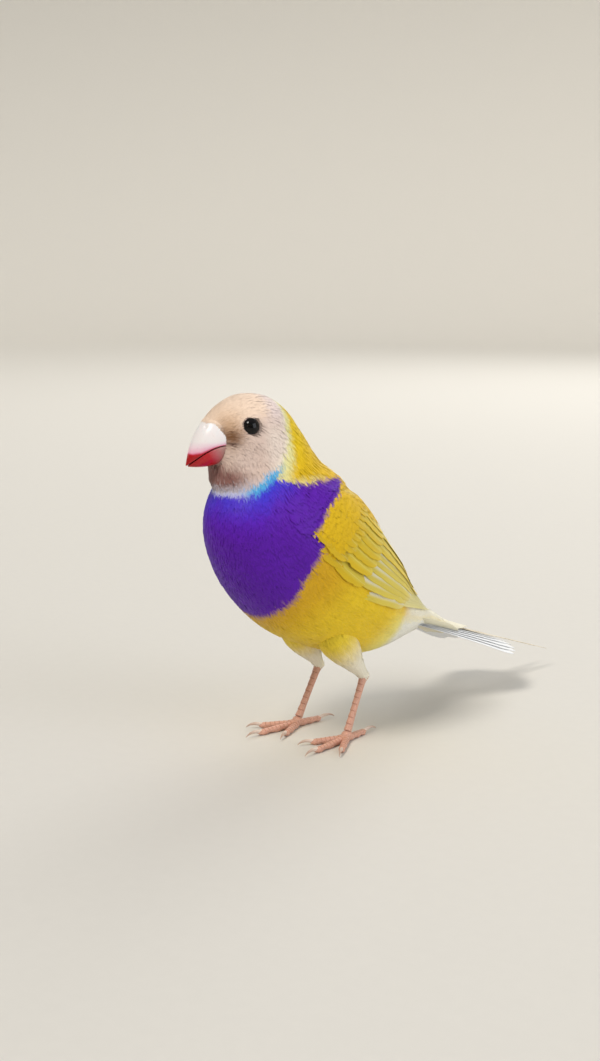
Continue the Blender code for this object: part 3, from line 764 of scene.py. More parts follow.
@dataclass(frozen=True)
class Markings:
    """The bird's colours as a function of place, shared by the skin and the coat.

    Borders are pairs of an angle in degrees from the back and a station. Colours are sRGB hex codes.
    """

    mask_edge: Pairs = (
        (0, 10.75), (20, 10.55), (40, 10.2), (54, 9.9), (66, 9.35), (78, 8.95), (90, 8.7), (104, 8.75),
        (122, 8.58), (136, 8.6), (160, 8.83), (180, 8.9),
    )
    collar_depth: Pairs = (
        (0, 0.0), (74, 0.02), (88, 0.16), (104, 0.36), (122, 0.32), (140, 0.26), (180, 0.26)
    )
    violet_top: Pairs = ((30, 6.5), (44, 6.9), (64, 7.35), (80, 7.7), (90, 8.05), (98, 8.35), (112, 8.9))
    violet_end: Pairs = ((60, 6.6), (100, 6.05), (135, 5.6), (180, 5.45))
    # The crown's peach is its own colour; its lighter tone than the cheek is partly painted light on the
    # head's top.
    crown: str = "fde2ca"
    nape: str = "f0dfdd"
    cheek: str = "e0c8bb"
    ear: str = "f0dfd2"
    rim: str = "faf0d6"
    throat_low: str = "c3bfcd"
    lores: str = "7a5234"
    tan: str = "d2a880"
    # The dark line at the mouth's corner is painted shade in its crease.
    gape: str = "43201c"
    throat: str = "875650"
    collar_front: str = "c9cdf0"
    collar_side: str = "58b4ea"
    blue: str = "3b3bdc"
    violet: str = "5c26d0"
    purple: str = "5c10ae"
    nape_yellow: str = "f2ce0a"
    mantle: str = "ebc008"
    lemon: str = "f0ecaa"
    belly: str = "ecc91e"
    gold: str = "d8a012"
    pale_belly: str = "f1e273"
    vent: str = "f1efe2"
    rump: str = "f6f1dc"

    def border(self, rows: Pairs, degrees: Array) -> Array:
        """The border's station at angles."""
        return np.interp(degrees, *zip(*rows))

    def colour(self, t: Array, a: Array) -> Array:
        """The marking at places on the trunk.

        Args:
            t: Stations.
            a: Angles in radians.

        Returns:
            Linear colours, one row for each place.
        """
        degrees = from_back(a)
        result = self.body(t, degrees)
        inside = eased(t - self.border(self.mask_edge, degrees), -0.03, 0.06)
        lay_over(result, self.mask(t, a, degrees), inside)
        return result

    def body(self, t: Array, degrees: Array) -> Array:
        """The colours behind the mask: yellow back and belly, blue collar, violet breast, pale rear.

        Args:
            t: Stations.
            degrees: Angles from the back.

        Returns:
            Linear colours, one row for each place.
        """
        result = filled(self.mantle, t)
        lay_over(result, self.nape_yellow, eased(t, 7.5, 9.5))
        under = eased(degrees, 80, 105)
        lay_over(result, self.belly, under)
        lay_over(result, self.gold, under * eased(t, 4.6, 5.6) * 0.7)
        lay_over(result, self.pale_belly, under * (1 - eased(t, 2.6, 3.6)))
        lay_over(result, self.vent, under * (1 - eased(t, 1.9, 2.7)))
        lay_over(result, self.rump, (1 - under) * (1 - eased(t, 1.6, 2.6)))
        mask = self.border(self.mask_edge, degrees)
        above = 1 - eased(degrees, 92, 104)
        reach = np.interp(degrees, (0, 30, 60, 85), (0.3, 0.35, 0.7, 0.95))
        lemon = above * eased(t, mask - reach, mask - reach * 0.25)
        lay_over(result, self.lemon, lemon * 0.9)
        top = self.border(self.violet_top, degrees)
        end = self.border(self.violet_end, degrees)
        inside = eased(degrees, 34, 42) * eased(t, end - 0.05, end + 0.05)
        violet = inside * (1 - eased(t, top - 0.07, top + 0.02))
        violet = np.where(degrees > 100, inside, violet)
        fringe = eased(t, top - 0.03, top + 0.03) * (1 - eased(t, top + 0.05, top + 0.28))
        edge_only = fringe * above * eased(degrees, 50, 62)
        lay_over(result, self.lemon, edge_only * 0.6)
        near = eased(t, mask - 1.2, mask - 0.3)
        breast = filled(self.purple, t)
        lay_over(breast, self.violet, eased(t, mask - 1.7, mask - 0.5) * 0.85)
        blueness = np.interp(degrees, (90, 118, 136, 150, 168, 180), (1.0, 1.0, 0.6, 0.55, 0.75, 0.35))
        lay_over(breast, self.blue, near * blueness)
        lay_over(result, breast, violet)
        depth = self.border(self.collar_depth, degrees)
        band = eased(t, mask - depth - 0.1, mask - depth * 0.7) * eased(degrees, 80, 98)
        collar = filled(self.collar_side, t)
        lay_over(collar, self.collar_front, eased(degrees, 122, 146))
        lay_over(result, collar, band)
        return result

    def mask(self, t: Array, a: Array, degrees: Array) -> Array:
        """The pale mask, with brown lores, a brown throat and painted shade in the crease at the mouth's
        corner.

        Args:
            t: Stations.
            a: Angles in radians.
            degrees: The same angles in degrees from the back.

        Returns:
            Linear colours, one row for each place.
        """
        _, ahead, up = TRUNK.head_place(t, a)
        result = filled(self.cheek, t)
        # Partly painted light: the crown is set lighter than the cheek as the head's lit top, over its own
        # peach.
        lay_over(result, self.crown, eased(up + 0.25 * ahead, -1.0, 3.5))
        lay_over(result, self.nape, eased(-ahead, 3.0, 7.0) * eased(up, -1.5, 3.5) * 0.8)
        lay_over(result, self.ear, eased(-ahead, 1.5, 5.5) * eased(up, 2.5, -2.5))
        low = eased(-up, 11.0, 14.5)
        lay_over(result, self.throat_low, low * 0.85)
        edge = self.border(self.mask_edge, degrees)
        rim = (1 - eased(t, edge, edge + 0.4)) * (1 - eased(degrees, 84, 104))
        lay_over(result, self.rim, rim * 0.8)
        tan = np.exp(-(((ahead - 4.4) / 2.6) ** 2 + ((up + 0.2) / 3.6) ** 2))
        lay_over(result, self.tan, tan * 0.75)
        lores = np.exp(-(((ahead - 4.1) / 2.0) ** 2 + ((up + 2.4) / 1.9) ** 2))
        lay_over(result, self.lores, lores)
        # Painted shade: a dark line along the crease at the mouth's corner.
        gape = np.exp(-(((ahead - 4.2) / 1.5) ** 2 + ((up + 4.45 - 0.1 * ahead) / 0.33) ** 2))
        lay_over(result, self.gape, gape * 0.9)
        throat = np.exp(-(((ahead - 4.9) / 3.2) ** 2 + ((up + 11.0) / 2.3) ** 2) ** 1.4)
        lay_over(result, self.throat, np.clip(throat * 1.1, 0, 0.92))
        return result


MARKINGS = Markings()


def from_back(a: Array) -> Array:
    """Degrees between an angle and the middle of the back, the same on both sides."""
    return np.degrees(np.abs((a + math.pi) % TURN - math.pi))


def bump_over(t: Array, a: Array) -> Array:
    """How far the folded wings' arms swell the flanks, in millimetres."""
    degrees = from_back(a)
    long_way = eased(t, 1.8, 3.4) * (1 - eased(t, 6.5, 7.5))
    round_way = eased(degrees, 14, 38) * (1 - eased(degrees, 100, 124))
    return 1.3 * long_way * round_way


WING_FRONT = 7.12


def wing_setback(degrees: Array) -> Array:
    """How many stations the rounded bend of the wing lies behind its foremost point."""
    return 0.42 * ((np.clip(degrees, 40, 110) - 74) / 30) ** 2


def wing_height(t: Array, a: Array) -> Array:
    """How far the folded wing's upper face stands off the trunk, in millimetres."""
    degrees = from_back(a)
    t = t + wing_setback(degrees) * eased(t, 4.5, 6.4)
    stations = (0.6, 1.5, 3.0, 4.2, 5.2, 6.0, 6.5, 6.8, WING_FRONT, 7.3)
    height = np.interp(t, stations, (0.7, 1.3, 1.9, 2.15, 2.3, 2.2, 1.9, 1.45, 0.6, 0.0))
    back_edge = np.interp(t, (2.0, 4.0, 6.0, WING_FRONT), (8.0, 10.0, 18.0, 42.0))
    low_edge = np.interp(t, (0.35, 2.0, 3.0, 4.4, 5.5), (66.0, 86.0, 94.0, 101.0, 107.0))
    ends = eased(t, -0.2, 0.5) * (1 - eased(degrees, low_edge - 2, low_edge + 6))
    return height * eased(degrees - back_edge, -6.0, 24.0) * edge_drop(degrees) * ends


def edge_drop(degrees: Array) -> Array:
    """The share of its height that the wing keeps towards its lower edge, close to the flank."""
    return 1 - 0.72 * eased(degrees, 86, 104)


def throat_fluff(t: Array, a: Array) -> Array:
    """How far the throat's feathers stand out under the bill, in millimetres."""
    stations = (8.0, 8.2, 8.5, 8.8, 9.1, 9.6, 10.4, 11.4, 12.0)
    along = np.interp(t, stations, (-0.5, -1.0, -0.9, 0.0, 0.9, 1.8, 1.9, 1.5, 0.6))
    return along * eased(from_back(a), 105, 150) * eased(t, 7.6, 8.3) * (t < 12.6)


def coat_form(t: Array, a: Array) -> Array:
    """The height of the coat's outer form over the trunk, in millimetres.

    The coat lies over the wing's front and under its rear, and sinks under the tail's upper coverts.
    """
    rear = np.interp(from_back(a), (46, 56), (3.6, 4.8))
    over = wing_height(t, a) * eased(t, rear, rear + 0.8)
    sink = 1.1 * eased(-t, 0.3, 0.9) * eased(np.cos(a), 0.2, 0.8)
    return np.maximum(bump_over(t, a), over + 0.12 * eased(over, 0.0, 0.2)) + throat_fluff(t, a) - sink


@dataclass(frozen=True)
class CoatPlan:
    """The sizes of the coat in millimetres at stations along the trunk."""

    stations: tuple[float, ...] = (0.0, 2.0, 4.0, 6.0, 7.5, 9.0, 10.5, 12.0, 13.0, 14.0)
    depth: tuple[float, ...] = (1.1, 1.5, 1.9, 1.8, 1.4, 1.0, 0.7, 0.55, 0.45, 0.35)

    def depth_at(self, t: Array) -> Array:
        """How deep the skin lies under the tips of the coat."""
        return np.interp(t, self.stations, self.depth)


COAT = CoatPlan()


@dataclass(frozen=True)
class Template:
    """A small feather modelled flat: across in half widths, along from root to tip, out in thicknesses."""

    points: Array
    faces: Array


def template_of(obj: Piece) -> Template:
    """Reads a modelled feather and removes it.

    Args:
        obj: The feather, modelled flat.

    Returns:
        Its points and triangles.
    """
    select_only(obj)
    with editing():
        bpy.ops.mesh.normals_make_consistent(inside=False)
        bpy.ops.mesh.quads_convert_to_tris(quad_method="BEAUTY", ngon_method="BEAUTY")
    faces = np.array([tuple(face.vertices) for face in obj.data.polygons])
    template = Template(points_of(obj), faces)
    bpy.data.objects.remove(obj)
    return template


def barb_tuft(outline: Pairs) -> Template:
    """Models a narrow pointed tuft of barbs with a lens-shaped section.

    Args:
        outline: Shares of the length with the half width there. The last one is the point.

    Returns:
        Its template.
    """
    select_only()
    bpy.ops.mesh.primitive_circle_add(vertices=4, radius=1.0, rotation=(math.pi / 2, 0, 0))
    obj = bpy.context.object
    bpy.ops.object.transform_apply(location=True, rotation=True, scale=True)
    with editing():
        bpy.ops.mesh.edge_face_add()
        width = outline[0][1]
        bpy.ops.transform.resize(value=(width, 1, width), center_override=(0, 0, 0))
        for (start, before), (share, after) in zip(outline, outline[1:]):
            bpy.ops.mesh.extrude_region_move(TRANSFORM_OT_translate={"value": (0, share - start, 0)})
            scale = after / before
            bpy.ops.transform.resize(value=(scale, 1, scale), center_override=(0, share, 0))
        bpy.ops.mesh.merge(type="CENTER")
    return template_of(obj)


def small_vane(tips: Sequence[float], rows: Pairs) -> Template:
    """Models a small flat vane whose end is frayed.

    Args:
        tips: How far each column of the vane's end reaches, as shares of its length.
        rows: Shares of the length with the half width there, the last one being the end.

    Returns:
        Its template.
    """
    select_only()
    columns = len(tips) - 1
    bpy.ops.mesh.primitive_grid_add(x_subdivisions=columns, y_subdivisions=len(rows) - 1, size=2.0)
    obj = bpy.context.object
    places = points_of(obj)
    row = np.rint((places[:, 1] + 1) / 2 * (len(rows) - 1)).astype(int)
    column = np.rint((places[:, 0] + 1) / 2 * columns).astype(int)
    shares, widths = np.array(rows).T
    reach = np.where(row == len(rows) - 1, np.array(tips)[column], shares[row])
    ridge = 0.6 * (1 - np.abs(places[:, 0])) * (row > 0)
    set_points(obj, np.stack([places[:, 0] * widths[row], reach, ridge], axis=1))
    with editing():
        bpy.ops.mesh.extrude_region_move(TRANSFORM_OT_translate={"value": (0, 0, -0.8)})
    return template_of(obj)


@dataclass
class Coverage:
    """The tufts of one coat piece, given for each by its root and sizes in millimetres."""

    t: Array
    a: Array
    length: Array
    width: Array
    turn: Array
    root_lift: Array
    tip_lift: Array
    shade: Array

    def part(self, keep: Array) -> "Coverage":
        """The tufts that a mask keeps."""
        return Coverage(*(getattr(self, name)[keep] for name in self.__dataclass_fields__))


BORDER_STRAY = 0.3
BAKE_PATCH = 0.003
CROWDING = 6.0


def lay_tufts(
    name: str, surface: Surface, tufts: Coverage, template: Template, thickness: float, paint: Field,
    softness: float = 0.75,
) -> Piece:
    """Bends a template over a surface once for each tuft and joins them all.

    Args:
        name: The piece's name.
        surface: What the tufts grow on.
        tufts: Their roots and sizes.
        template: The modelled feather.
        thickness: Its thickness in millimetres.
        paint: Gives the marking at stations and angles.
        softness: How much the tufts shade as the form under them.

    Returns:
        The joined piece, in millimetres.
    """
    across, along, out = template.points.T
    shares = np.unique(np.round(along, 4))
    t, a = tufts.t.copy(), tufts.a.copy()
    cos, sin = np.cos(tufts.turn), np.sin(tufts.turn)
    path_t, path_a = [t], [a]
    for before, after in zip(shares, shares[1:]):
        distance = (after - before) * tufts.length
        step_t, step_a = surface.steps(t, a)
        half_t = t - 0.5 * distance * cos / step_t
        step_t, step_a = surface.steps(half_t, a)
        t = t - distance * cos / step_t
        a = a + distance * sin / step_a
        path_t.append(t)
        path_a.append(a)
    rank = np.searchsorted(shares, np.round(along, 4))
    spot_t, spot_a = np.stack(path_t, 1)[:, rank], np.stack(path_a, 1)[:, rank]
    step_t, step_a = surface.steps(spot_t, spot_a)
    reach = across[None] * tufts.width[:, None] / 2
    spot_t = spot_t + reach * sin[:, None] / step_t
    spot_a = spot_a + reach * cos[:, None] / step_a
    rise = 1 - (1 - along[None]) ** 2.3
    lift = tufts.root_lift[:, None] * (1 - rise) + tufts.tip_lift[:, None] * rise + out[None] * thickness
    points = surface.point(spot_t, spot_a, lift + surface.swell(spot_t, spot_a))
    count, size = reach.shape
    faces = (template.faces[None] + np.arange(count)[:, None, None] * size).reshape(-1, 3)
    obj = mesh_object(name, points.reshape(-1, 3), faces)
    lie = surface.outward(np.stack(path_t, 1), np.stack(path_a, 1))
    soften_shading(obj, lie[:, rank].reshape(-1, 3), softness)
    stray = np.random.default_rng(count).normal(0.0, BORDER_STRAY, (2, count))
    step_t, step_a = surface.steps(tufts.t, tufts.a)
    own = paint(spot_t + (stray[0] / step_t)[:, None], spot_a + (stray[1] / step_a)[:, None])
    barbs = np.stack([reach, along[None] * tufts.length[:, None]], axis=-1)
    home = surface.unwrap(tufts.t, tufts.a)[:, None]
    patch = np.stack([across / 2, along - 0.5], axis=-1)[None] * BAKE_PATCH
    store(obj, Marking=own.reshape(-1, 3), Shade=np.repeat(tufts.shade, size), Along=np.tile(along, count))
    store(obj, Barbs=barbs.reshape(-1, 2), OFBake=(home + patch).reshape(-1, 2))
    return obj


def scattered(
    surface: Surface, low: float, high: float, spacing: Callable[[Array], Array], bare: Field, seed: int
) -> tuple[Array, Array]:
    """Strews roots evenly over a surface, none nearer to another than the spacing.

    Args:
        surface: What they grow on.
        low: The lowest station.
        high: The highest station.
        spacing: Gives the distance in millimetres between roots at stations.
        bare: Says where nothing grows.
        seed: Seeds the draw.

    Returns:
        The roots' stations and angles.
    """
    rng = np.random.default_rng(seed)
    grid_t, grid_a = np.meshgrid(np.linspace(low, high, 90), np.linspace(-math.pi, math.pi, 90))
    step_t, step_a = surface.steps(grid_t, grid_a)
    load = step_t * step_a / spacing(grid_t) ** 2
    count = int(load.max() * (high - low) * TURN * CROWDING)
    t = rng.uniform(low, high, count)
    a = rng.uniform(-math.pi, math.pi, count)
    step_t, step_a = surface.steps(t, a)
    kept = rng.uniform(0, load.max(), count) < step_t * step_a / spacing(t) ** 2
    t, a = t[kept], a[kept]
    clear = ~bare(t, a)
    t, a = t[clear], a[clear]
    points, radius = surface.point(t, a, 0.0), spacing(t)
    tree = kdtree.KDTree(len(points))
    for index, point in enumerate(points):
        tree.insert(point, index)
    tree.balance()
    alive = np.ones(len(points), bool)
    for index in range(len(points)):
        if alive[index]:
            for _, other, _ in tree.find_range(points[index], radius[index]):
                if other > index:
                    alive[other] = False
    return t[alive], a[alive]


BILL_LENGTH, BILL_OVERBITE = 10.35, 0.4
BILL_DROP = math.radians(27)
MOUTH_ARCH = 1.3
UPPER_HEIGHT, LOWER_HEIGHT, BILL_HALF_WIDTH = 7.1, 3.3, 4.75
GAPE_AHEAD, GAPE_UP = 31.0, 75.3
MOUTH_GAP = 0.3
ARCH_POWER = 0.9
BILL_ROOT = -0.12


@dataclass(frozen=True)
class BillShape:
    """One half of the bill: an arch over or under the line of the mouth."""

    height: float
    length: float

    def width(self, share: Array) -> Array:
        """Half the bill's width at shares of its length."""
        return BILL_HALF_WIDTH * 0.96 * (1 - np.clip(share, 0, 1) ** 1.9) + 0.16

    def mouth(self, share: Array) -> Array:
        """How far the line of the mouth stands over the straight line from gape to tip."""
        return MOUTH_ARCH * np.sin(math.pi * np.clip(share, 0, 1) ** 0.8)

    def base(self, share: Array) -> Array:
        """The cutting edge's height."""
        return self.mouth(share) + math.copysign(MOUTH_GAP / 2, self.height)

    def edge(self, share: Array) -> Array:
        """The culmen's or the chin's height."""
        power = 1.68 if self.height > 0 else 2.2
        taper = 1 - np.clip(share, 0, 1) ** power
        return self.height * taper + math.copysign(0.3, self.height)

    def placed(self, share: Array, side: Array, rise: Array) -> Array:
        """Carries the bill's own measures to the head.

        Args:
            share: Shares of the length.
            side: Millimetres to the side.
            rise: Millimetres over the mouth's line.

        Returns:
            Points in millimetres.
        """
        reach = self.length * share
        ahead = GAPE_AHEAD + reach * math.cos(BILL_DROP) + rise * math.sin(BILL_DROP)
        up = GAPE_UP - reach * math.sin(BILL_DROP) + rise * math.cos(BILL_DROP)
        return TRUNK.turned(np.stack([side, -ahead, up], axis=-1), 1.0)


UPPER = BillShape(UPPER_HEIGHT, BILL_LENGTH)
LOWER = BillShape(-LOWER_HEIGHT, BILL_LENGTH - BILL_OVERBITE)


def in_bill(t: Array, a: Array) -> Array:
    """Whether places on the trunk lie inside the bill."""
    side, ahead, up = TRUNK.head_place(t, a)
    ahead, up = ahead + TRUNK.eye_ahead - GAPE_AHEAD, up + TRUNK.eye_up - GAPE_UP
    reach = ahead * math.cos(BILL_DROP) - up * math.sin(BILL_DROP)
    rise = ahead * math.sin(BILL_DROP) + up * math.cos(BILL_DROP)
    inside = np.zeros(np.shape(t), bool)
    for half in (UPPER, LOWER):
        share = reach / half.length
        base, edge, width = half.base(share), half.edge(share), half.width(share)
        tall = np.clip((rise - base) / (edge - base), 0, 1)
        across = np.sqrt(np.maximum(0.0, 1 - tall ** (2 / ARCH_POWER)))
        between = (rise - base) * np.sign(half.height) > -0.4
        between &= (rise - edge) * np.sign(half.height) < 0
        inside |= (share > BILL_ROOT) & between & (side < width * across)
    return inside


def eye_distance(t: Array, a: Array) -> Array:
    """How far places on the trunk lie from the middle of the nearer eye, in millimetres."""
    places = TRUNK.point(t, a, 0.0)
    middles = [TRUNK.eye_axis(side, 0.0)[0] for side in Side]
    return np.min([np.linalg.norm(places - middle, axis=-1) for middle in middles], axis=0)


def near_eye(t: Array, a: Array, reach: float) -> Array:
    """Whether places on the trunk lie within a reach of an eye's middle."""
    return eye_distance(t, a) < reach


def under_wing(t: Array, a: Array) -> Array:
    """Whether a folded wing hides places on the trunk."""
    degrees = from_back(a)
    stations = (0.8, 2.0, 4.0, 4.8, 5.4, 6.4, WING_FRONT)
    back_edge = np.interp(t, stations, (38.0, 20.0, 19.0, 28.0, 38.0, 46.0, 54.0))
    low_edge = np.interp(t, (0.8, 2.0, 3.0, 4.4, 5.5, WING_FRONT), (52.0, 66.0, 75.0, 88.0, 96.0, 98.0))
    front = WING_FRONT - wing_setback(degrees)
    return (t > 0.8) & (t < front) & (degrees > back_edge) & (degrees < low_edge)


def body_bare(t: Array, a: Array) -> Array:
    """Where no body feather grows."""
    return in_bill(t, a) | near_eye(t, a, EYE_CLEAR) | under_wing(t, a)


def off_shoulder(t: Array, a: Array) -> Array:
    """Where no shoulder covert grows."""
    degrees = from_back(a)
    edge = np.interp(t, (5.9, 6.6, WING_FRONT), (34.0, 42.0, 50.0))
    return (degrees < edge) | (degrees > 95) | (t > WING_FRONT + 0.08 - wing_setback(degrees))


@dataclass(frozen=True)
class Layer:
    """One layer of the coat: sizes in millimetres at stations, and how the tufts vary."""

    name: str
    template: Template
    stations: tuple[float, ...]
    spacing: tuple[float, ...]
    length: tuple[float, ...]
    width: tuple[float, ...]
    thickness: float
    seed: int
    root_share: float = 0.92
    tip_rise: float = 0.0
    raggedness: float = 0.03
    softness: float = 0.78
    splay: float = 5.0
    low: float = 0.05
    high: float = 9.3
    on_wing: bool = False
    bare: Field = body_bare
    length_range: tuple[float, float] = (0.85, 1.12)
    width_range: tuple[float, float] = (0.88, 1.12)
    front_range: tuple[float, float] = (0.05, 0.38)
    rear_range: tuple[float, float] = (0.2, 0.95)
    lid_clear: float = 2.25
    lid_trim: float = 0.4

    def at(self, values: tuple[float, ...], t: Array) -> Array:
        """One of the sizes at stations."""
        return np.interp(t, self.stations, values)

    def coverage(self) -> Coverage:
        """Draws the layer's tufts, cut short where they would lie over the wing, the rear end or an eye."""
        spacing = partial(self.at, self.spacing)
        t, a = scattered(TRUNK, self.low, self.high, spacing, self.bare, self.seed)
        rng = np.random.default_rng(self.seed + 1)
        count = len(t)
        length = self.at(self.length, t) * rng.uniform(*self.length_range, count)
        pace = TRUNK.steps(t, a)[0]
        front = WING_FRONT - wing_setback(from_back(a))
        over = (t > front) & (t < front + 1.2) & (wing_height(front - 0.6, a) > 0.6) & (not self.on_wing)
        reach = (t - front + rng.uniform(*self.front_range, count)) * pace
        length = np.where(over, np.minimum(length, reach), length)
        length = np.minimum(length, (t + rng.uniform(*self.rear_range, count)) * pace)
        on_eye = near_eye(t - length / pace, a, self.lid_clear)
        on_eye |= near_eye(t - 0.5 * length / pace, a, self.lid_clear)
        length = np.where(on_eye, self.lid_trim * length, length)
        rough = rng.normal(0.0, self.raggedness, count) + 0.3 * over
        shallow = 0.25 + 0.75 * eased(eye_distance(t, a), EYE_CLEAR, 4.2)
        return Coverage(
            t=t, a=a, length=length, width=self.at(self.width, t) * rng.uniform(*self.width_range, count),
            turn=np.radians(rng.normal(0.0, self.splay, count)),
            root_lift=-COAT.depth_at(t) * self.root_share * shallow, tip_lift=self.tip_rise + rough,
            shade=rng.uniform(0.0, 1.0, count),
        )

    def lay(self, name: str, tufts: Coverage, paint: Field) -> Piece:
        """Lays some of the layer's tufts on the trunk as one piece."""
        return lay_tufts(name, TRUNK, tufts, self.template, self.thickness, paint, self.softness)


@dataclass(frozen=True)
class Region:
    """A part of the coat between two stations that becomes one piece."""

    name: str
    slot: Slot
    finish: FeatherFinish
    low: float = -1.0
    high: float = 14.0
    violet: bool = False
    back: bool = False

    def holds(self, t: Array, a: Array) -> Array:
        """Whether roots lie here: on blue or violet ground, or on the back, where the region asks for it."""
        inside = (t >= self.low) & (t < self.high)
        if self.violet:
            _, green, blue = np.moveaxis(MARKINGS.colour(t, a), -1, 0)
            inside &= blue > green * 1.25
        if self.back:
            inside &= np.cos(a) > 0
        return inside


HEAD_FINISH = FeatherFinish("head_barbs", barb_spacing=0.3, barb_depth=0.06, root_shade=0.9, unevenness=0.025)
BREAST_FINISH = FeatherFinish(
    "breast_barbs", barb_spacing=0.4, barb_depth=0.1, root_shade=0.75, sheen=0.1, sheen_code="7a6cff",
    roughness=0.5,
)
BODY_FINISH = FeatherFinish("body_barbs", barb_spacing=0.42, barb_depth=0.08)
DOWN_FINISH = FeatherFinish("vent_barbs", barb_spacing=0.45, barb_depth=0.08, root_shade=0.92)
THIGH_FINISH = FeatherFinish("thigh_barbs", barb_spacing=0.4, root_shade=0.85, unevenness=0.03)
WING_FINISH = FeatherFinish(
    "wing_vane_barbs", barb_spacing=0.5, barb_depth=0.12, shaft_half=0.11, shaft_weight=0.12, roughness=0.5,
    glow=0.3,
)
TAIL_FINISH = FeatherFinish(
    "tail_vane_barbs", barb_spacing=0.55, barb_depth=0.06, shaft_half=0.16, roughness=0.5
)
LEG_FINISH = ScaleFinish("leg_scales", "dcaa94", "b57e6a")
LID_FINISH = ScaleFinish("lid_skin", "8f7a70", "5f4c44", plate=0.3)
# The mouth's lining is coloured near black as painted shade in the narrow gap between the bill's halves.
MOUTH_SHADE_FINISH = ScaleFinish("mouth_skin", "4a1512", "2c0a09", plate=0.6, roughness=0.35)
# The horn's white is its own pale colour, whitest over the top partly as a painted highlight.
UPPER_FINISH = HornFinish(
    "white_and_red_horn",
    ((0.0, "a8000c"), (0.15, "bd0016"), (0.22, "dd6a8c"), (0.32, "efb6cb"), (0.6, "f1d9e3"), (1.0, "f3eded")),
)
LOWER_FINISH = HornFinish(
    "red_horn", ((0.0, "b08d86"), (0.24, "ba8a84"), (0.4, "c4666c"), (0.55, "c51426"), (1.0, "b4000c"))
)

# A root falls to the first region that holds it.
REGIONS = (
    Region("coat_head", Slot.CREAM, HEAD_FINISH, low=11.6),
    Region("coat_nape", Slot.CREAM, HEAD_FINISH, low=9.2, high=11.6),
    Region("coat_breast", Slot.VIOLET, BREAST_FINISH, high=9.2, violet=True),
    Region("coat_neck", Slot.YELLOW, BODY_FINISH, low=7.0, high=9.2),
    Region("coat_rump", Slot.WHITE, DOWN_FINISH, high=2.3),
    Region("coat_mantle", Slot.YELLOW, BODY_FINISH, back=True),
    Region("coat_belly", Slot.YELLOW, BODY_FINISH),
)


@dataclass(frozen=True)
class BillBase(Surface):
    """The root of the bill, with stations in tenths of its length and angles as on the trunk."""

    line: Pairs = (
        (0, 2.6), (18, 2.1), (35, 1.0), (65, 0.6), (85, 0.2), (95, 0.1), (120, 0.7), (150, 1.4), (180, 1.8)
    )
    span: tuple[float, float] = (-1.6, 3.2)
    bristle_spacing: float = 0.2

    def point(self, t: Array, a: Array, lift: Array | float) -> Array:
        """Points in millimetres at places, a lift above the horn."""
        t, a, lift = np.broadcast_arrays(t, a, lift)
        share = t / 10
        over, under = (self.ring(half, share, a, lift) for half in (UPPER, LOWER))
        return np.where(np.cos(a)[..., None] >= 0, over, under)

    @staticmethod
    def ring(half: BillShape, share: Array, a: Array, lift: Array) -> Array:
        """A ring round the root of the bill.

        Args:
            half: The half of the bill.
            share: Shares of its length.
            a: Angles.
            lift: Millimetres above the horn.

        Returns:
            Points in millimetres.
        """
        width, mouth = half.width(share), half.mouth(share)
        tall = (half.edge(share) - mouth) * np.abs(np.cos(a)) ** ARCH_POWER
        grown = 1 + lift / np.abs(half.edge(share) - mouth)
        return half.placed(share, np.sin(a) * (width + lift), mouth + tall * grown)

    def beyond(self, t: Array, a: Array) -> Array:
        """Whether places lie out on the bare horn."""
        return t > np.interp(from_back(a), *zip(*self.line))

    def spacing(self, t: Array) -> Array:
        """The distance between bristles at stations."""
        return np.full(t.shape, self.bristle_spacing)


POINTED_BARBS = ((0.0, 0.45), (0.4, 1.0), (0.75, 0.75), (1.0, 0.12))
FRAYED_TIPS = (0.84, 0.95, 0.88, 1.0, 0.8)
FRAYED_ROWS = ((0.0, 0.35), (0.38, 0.9), (0.72, 1.0), (1.0, 0.78))


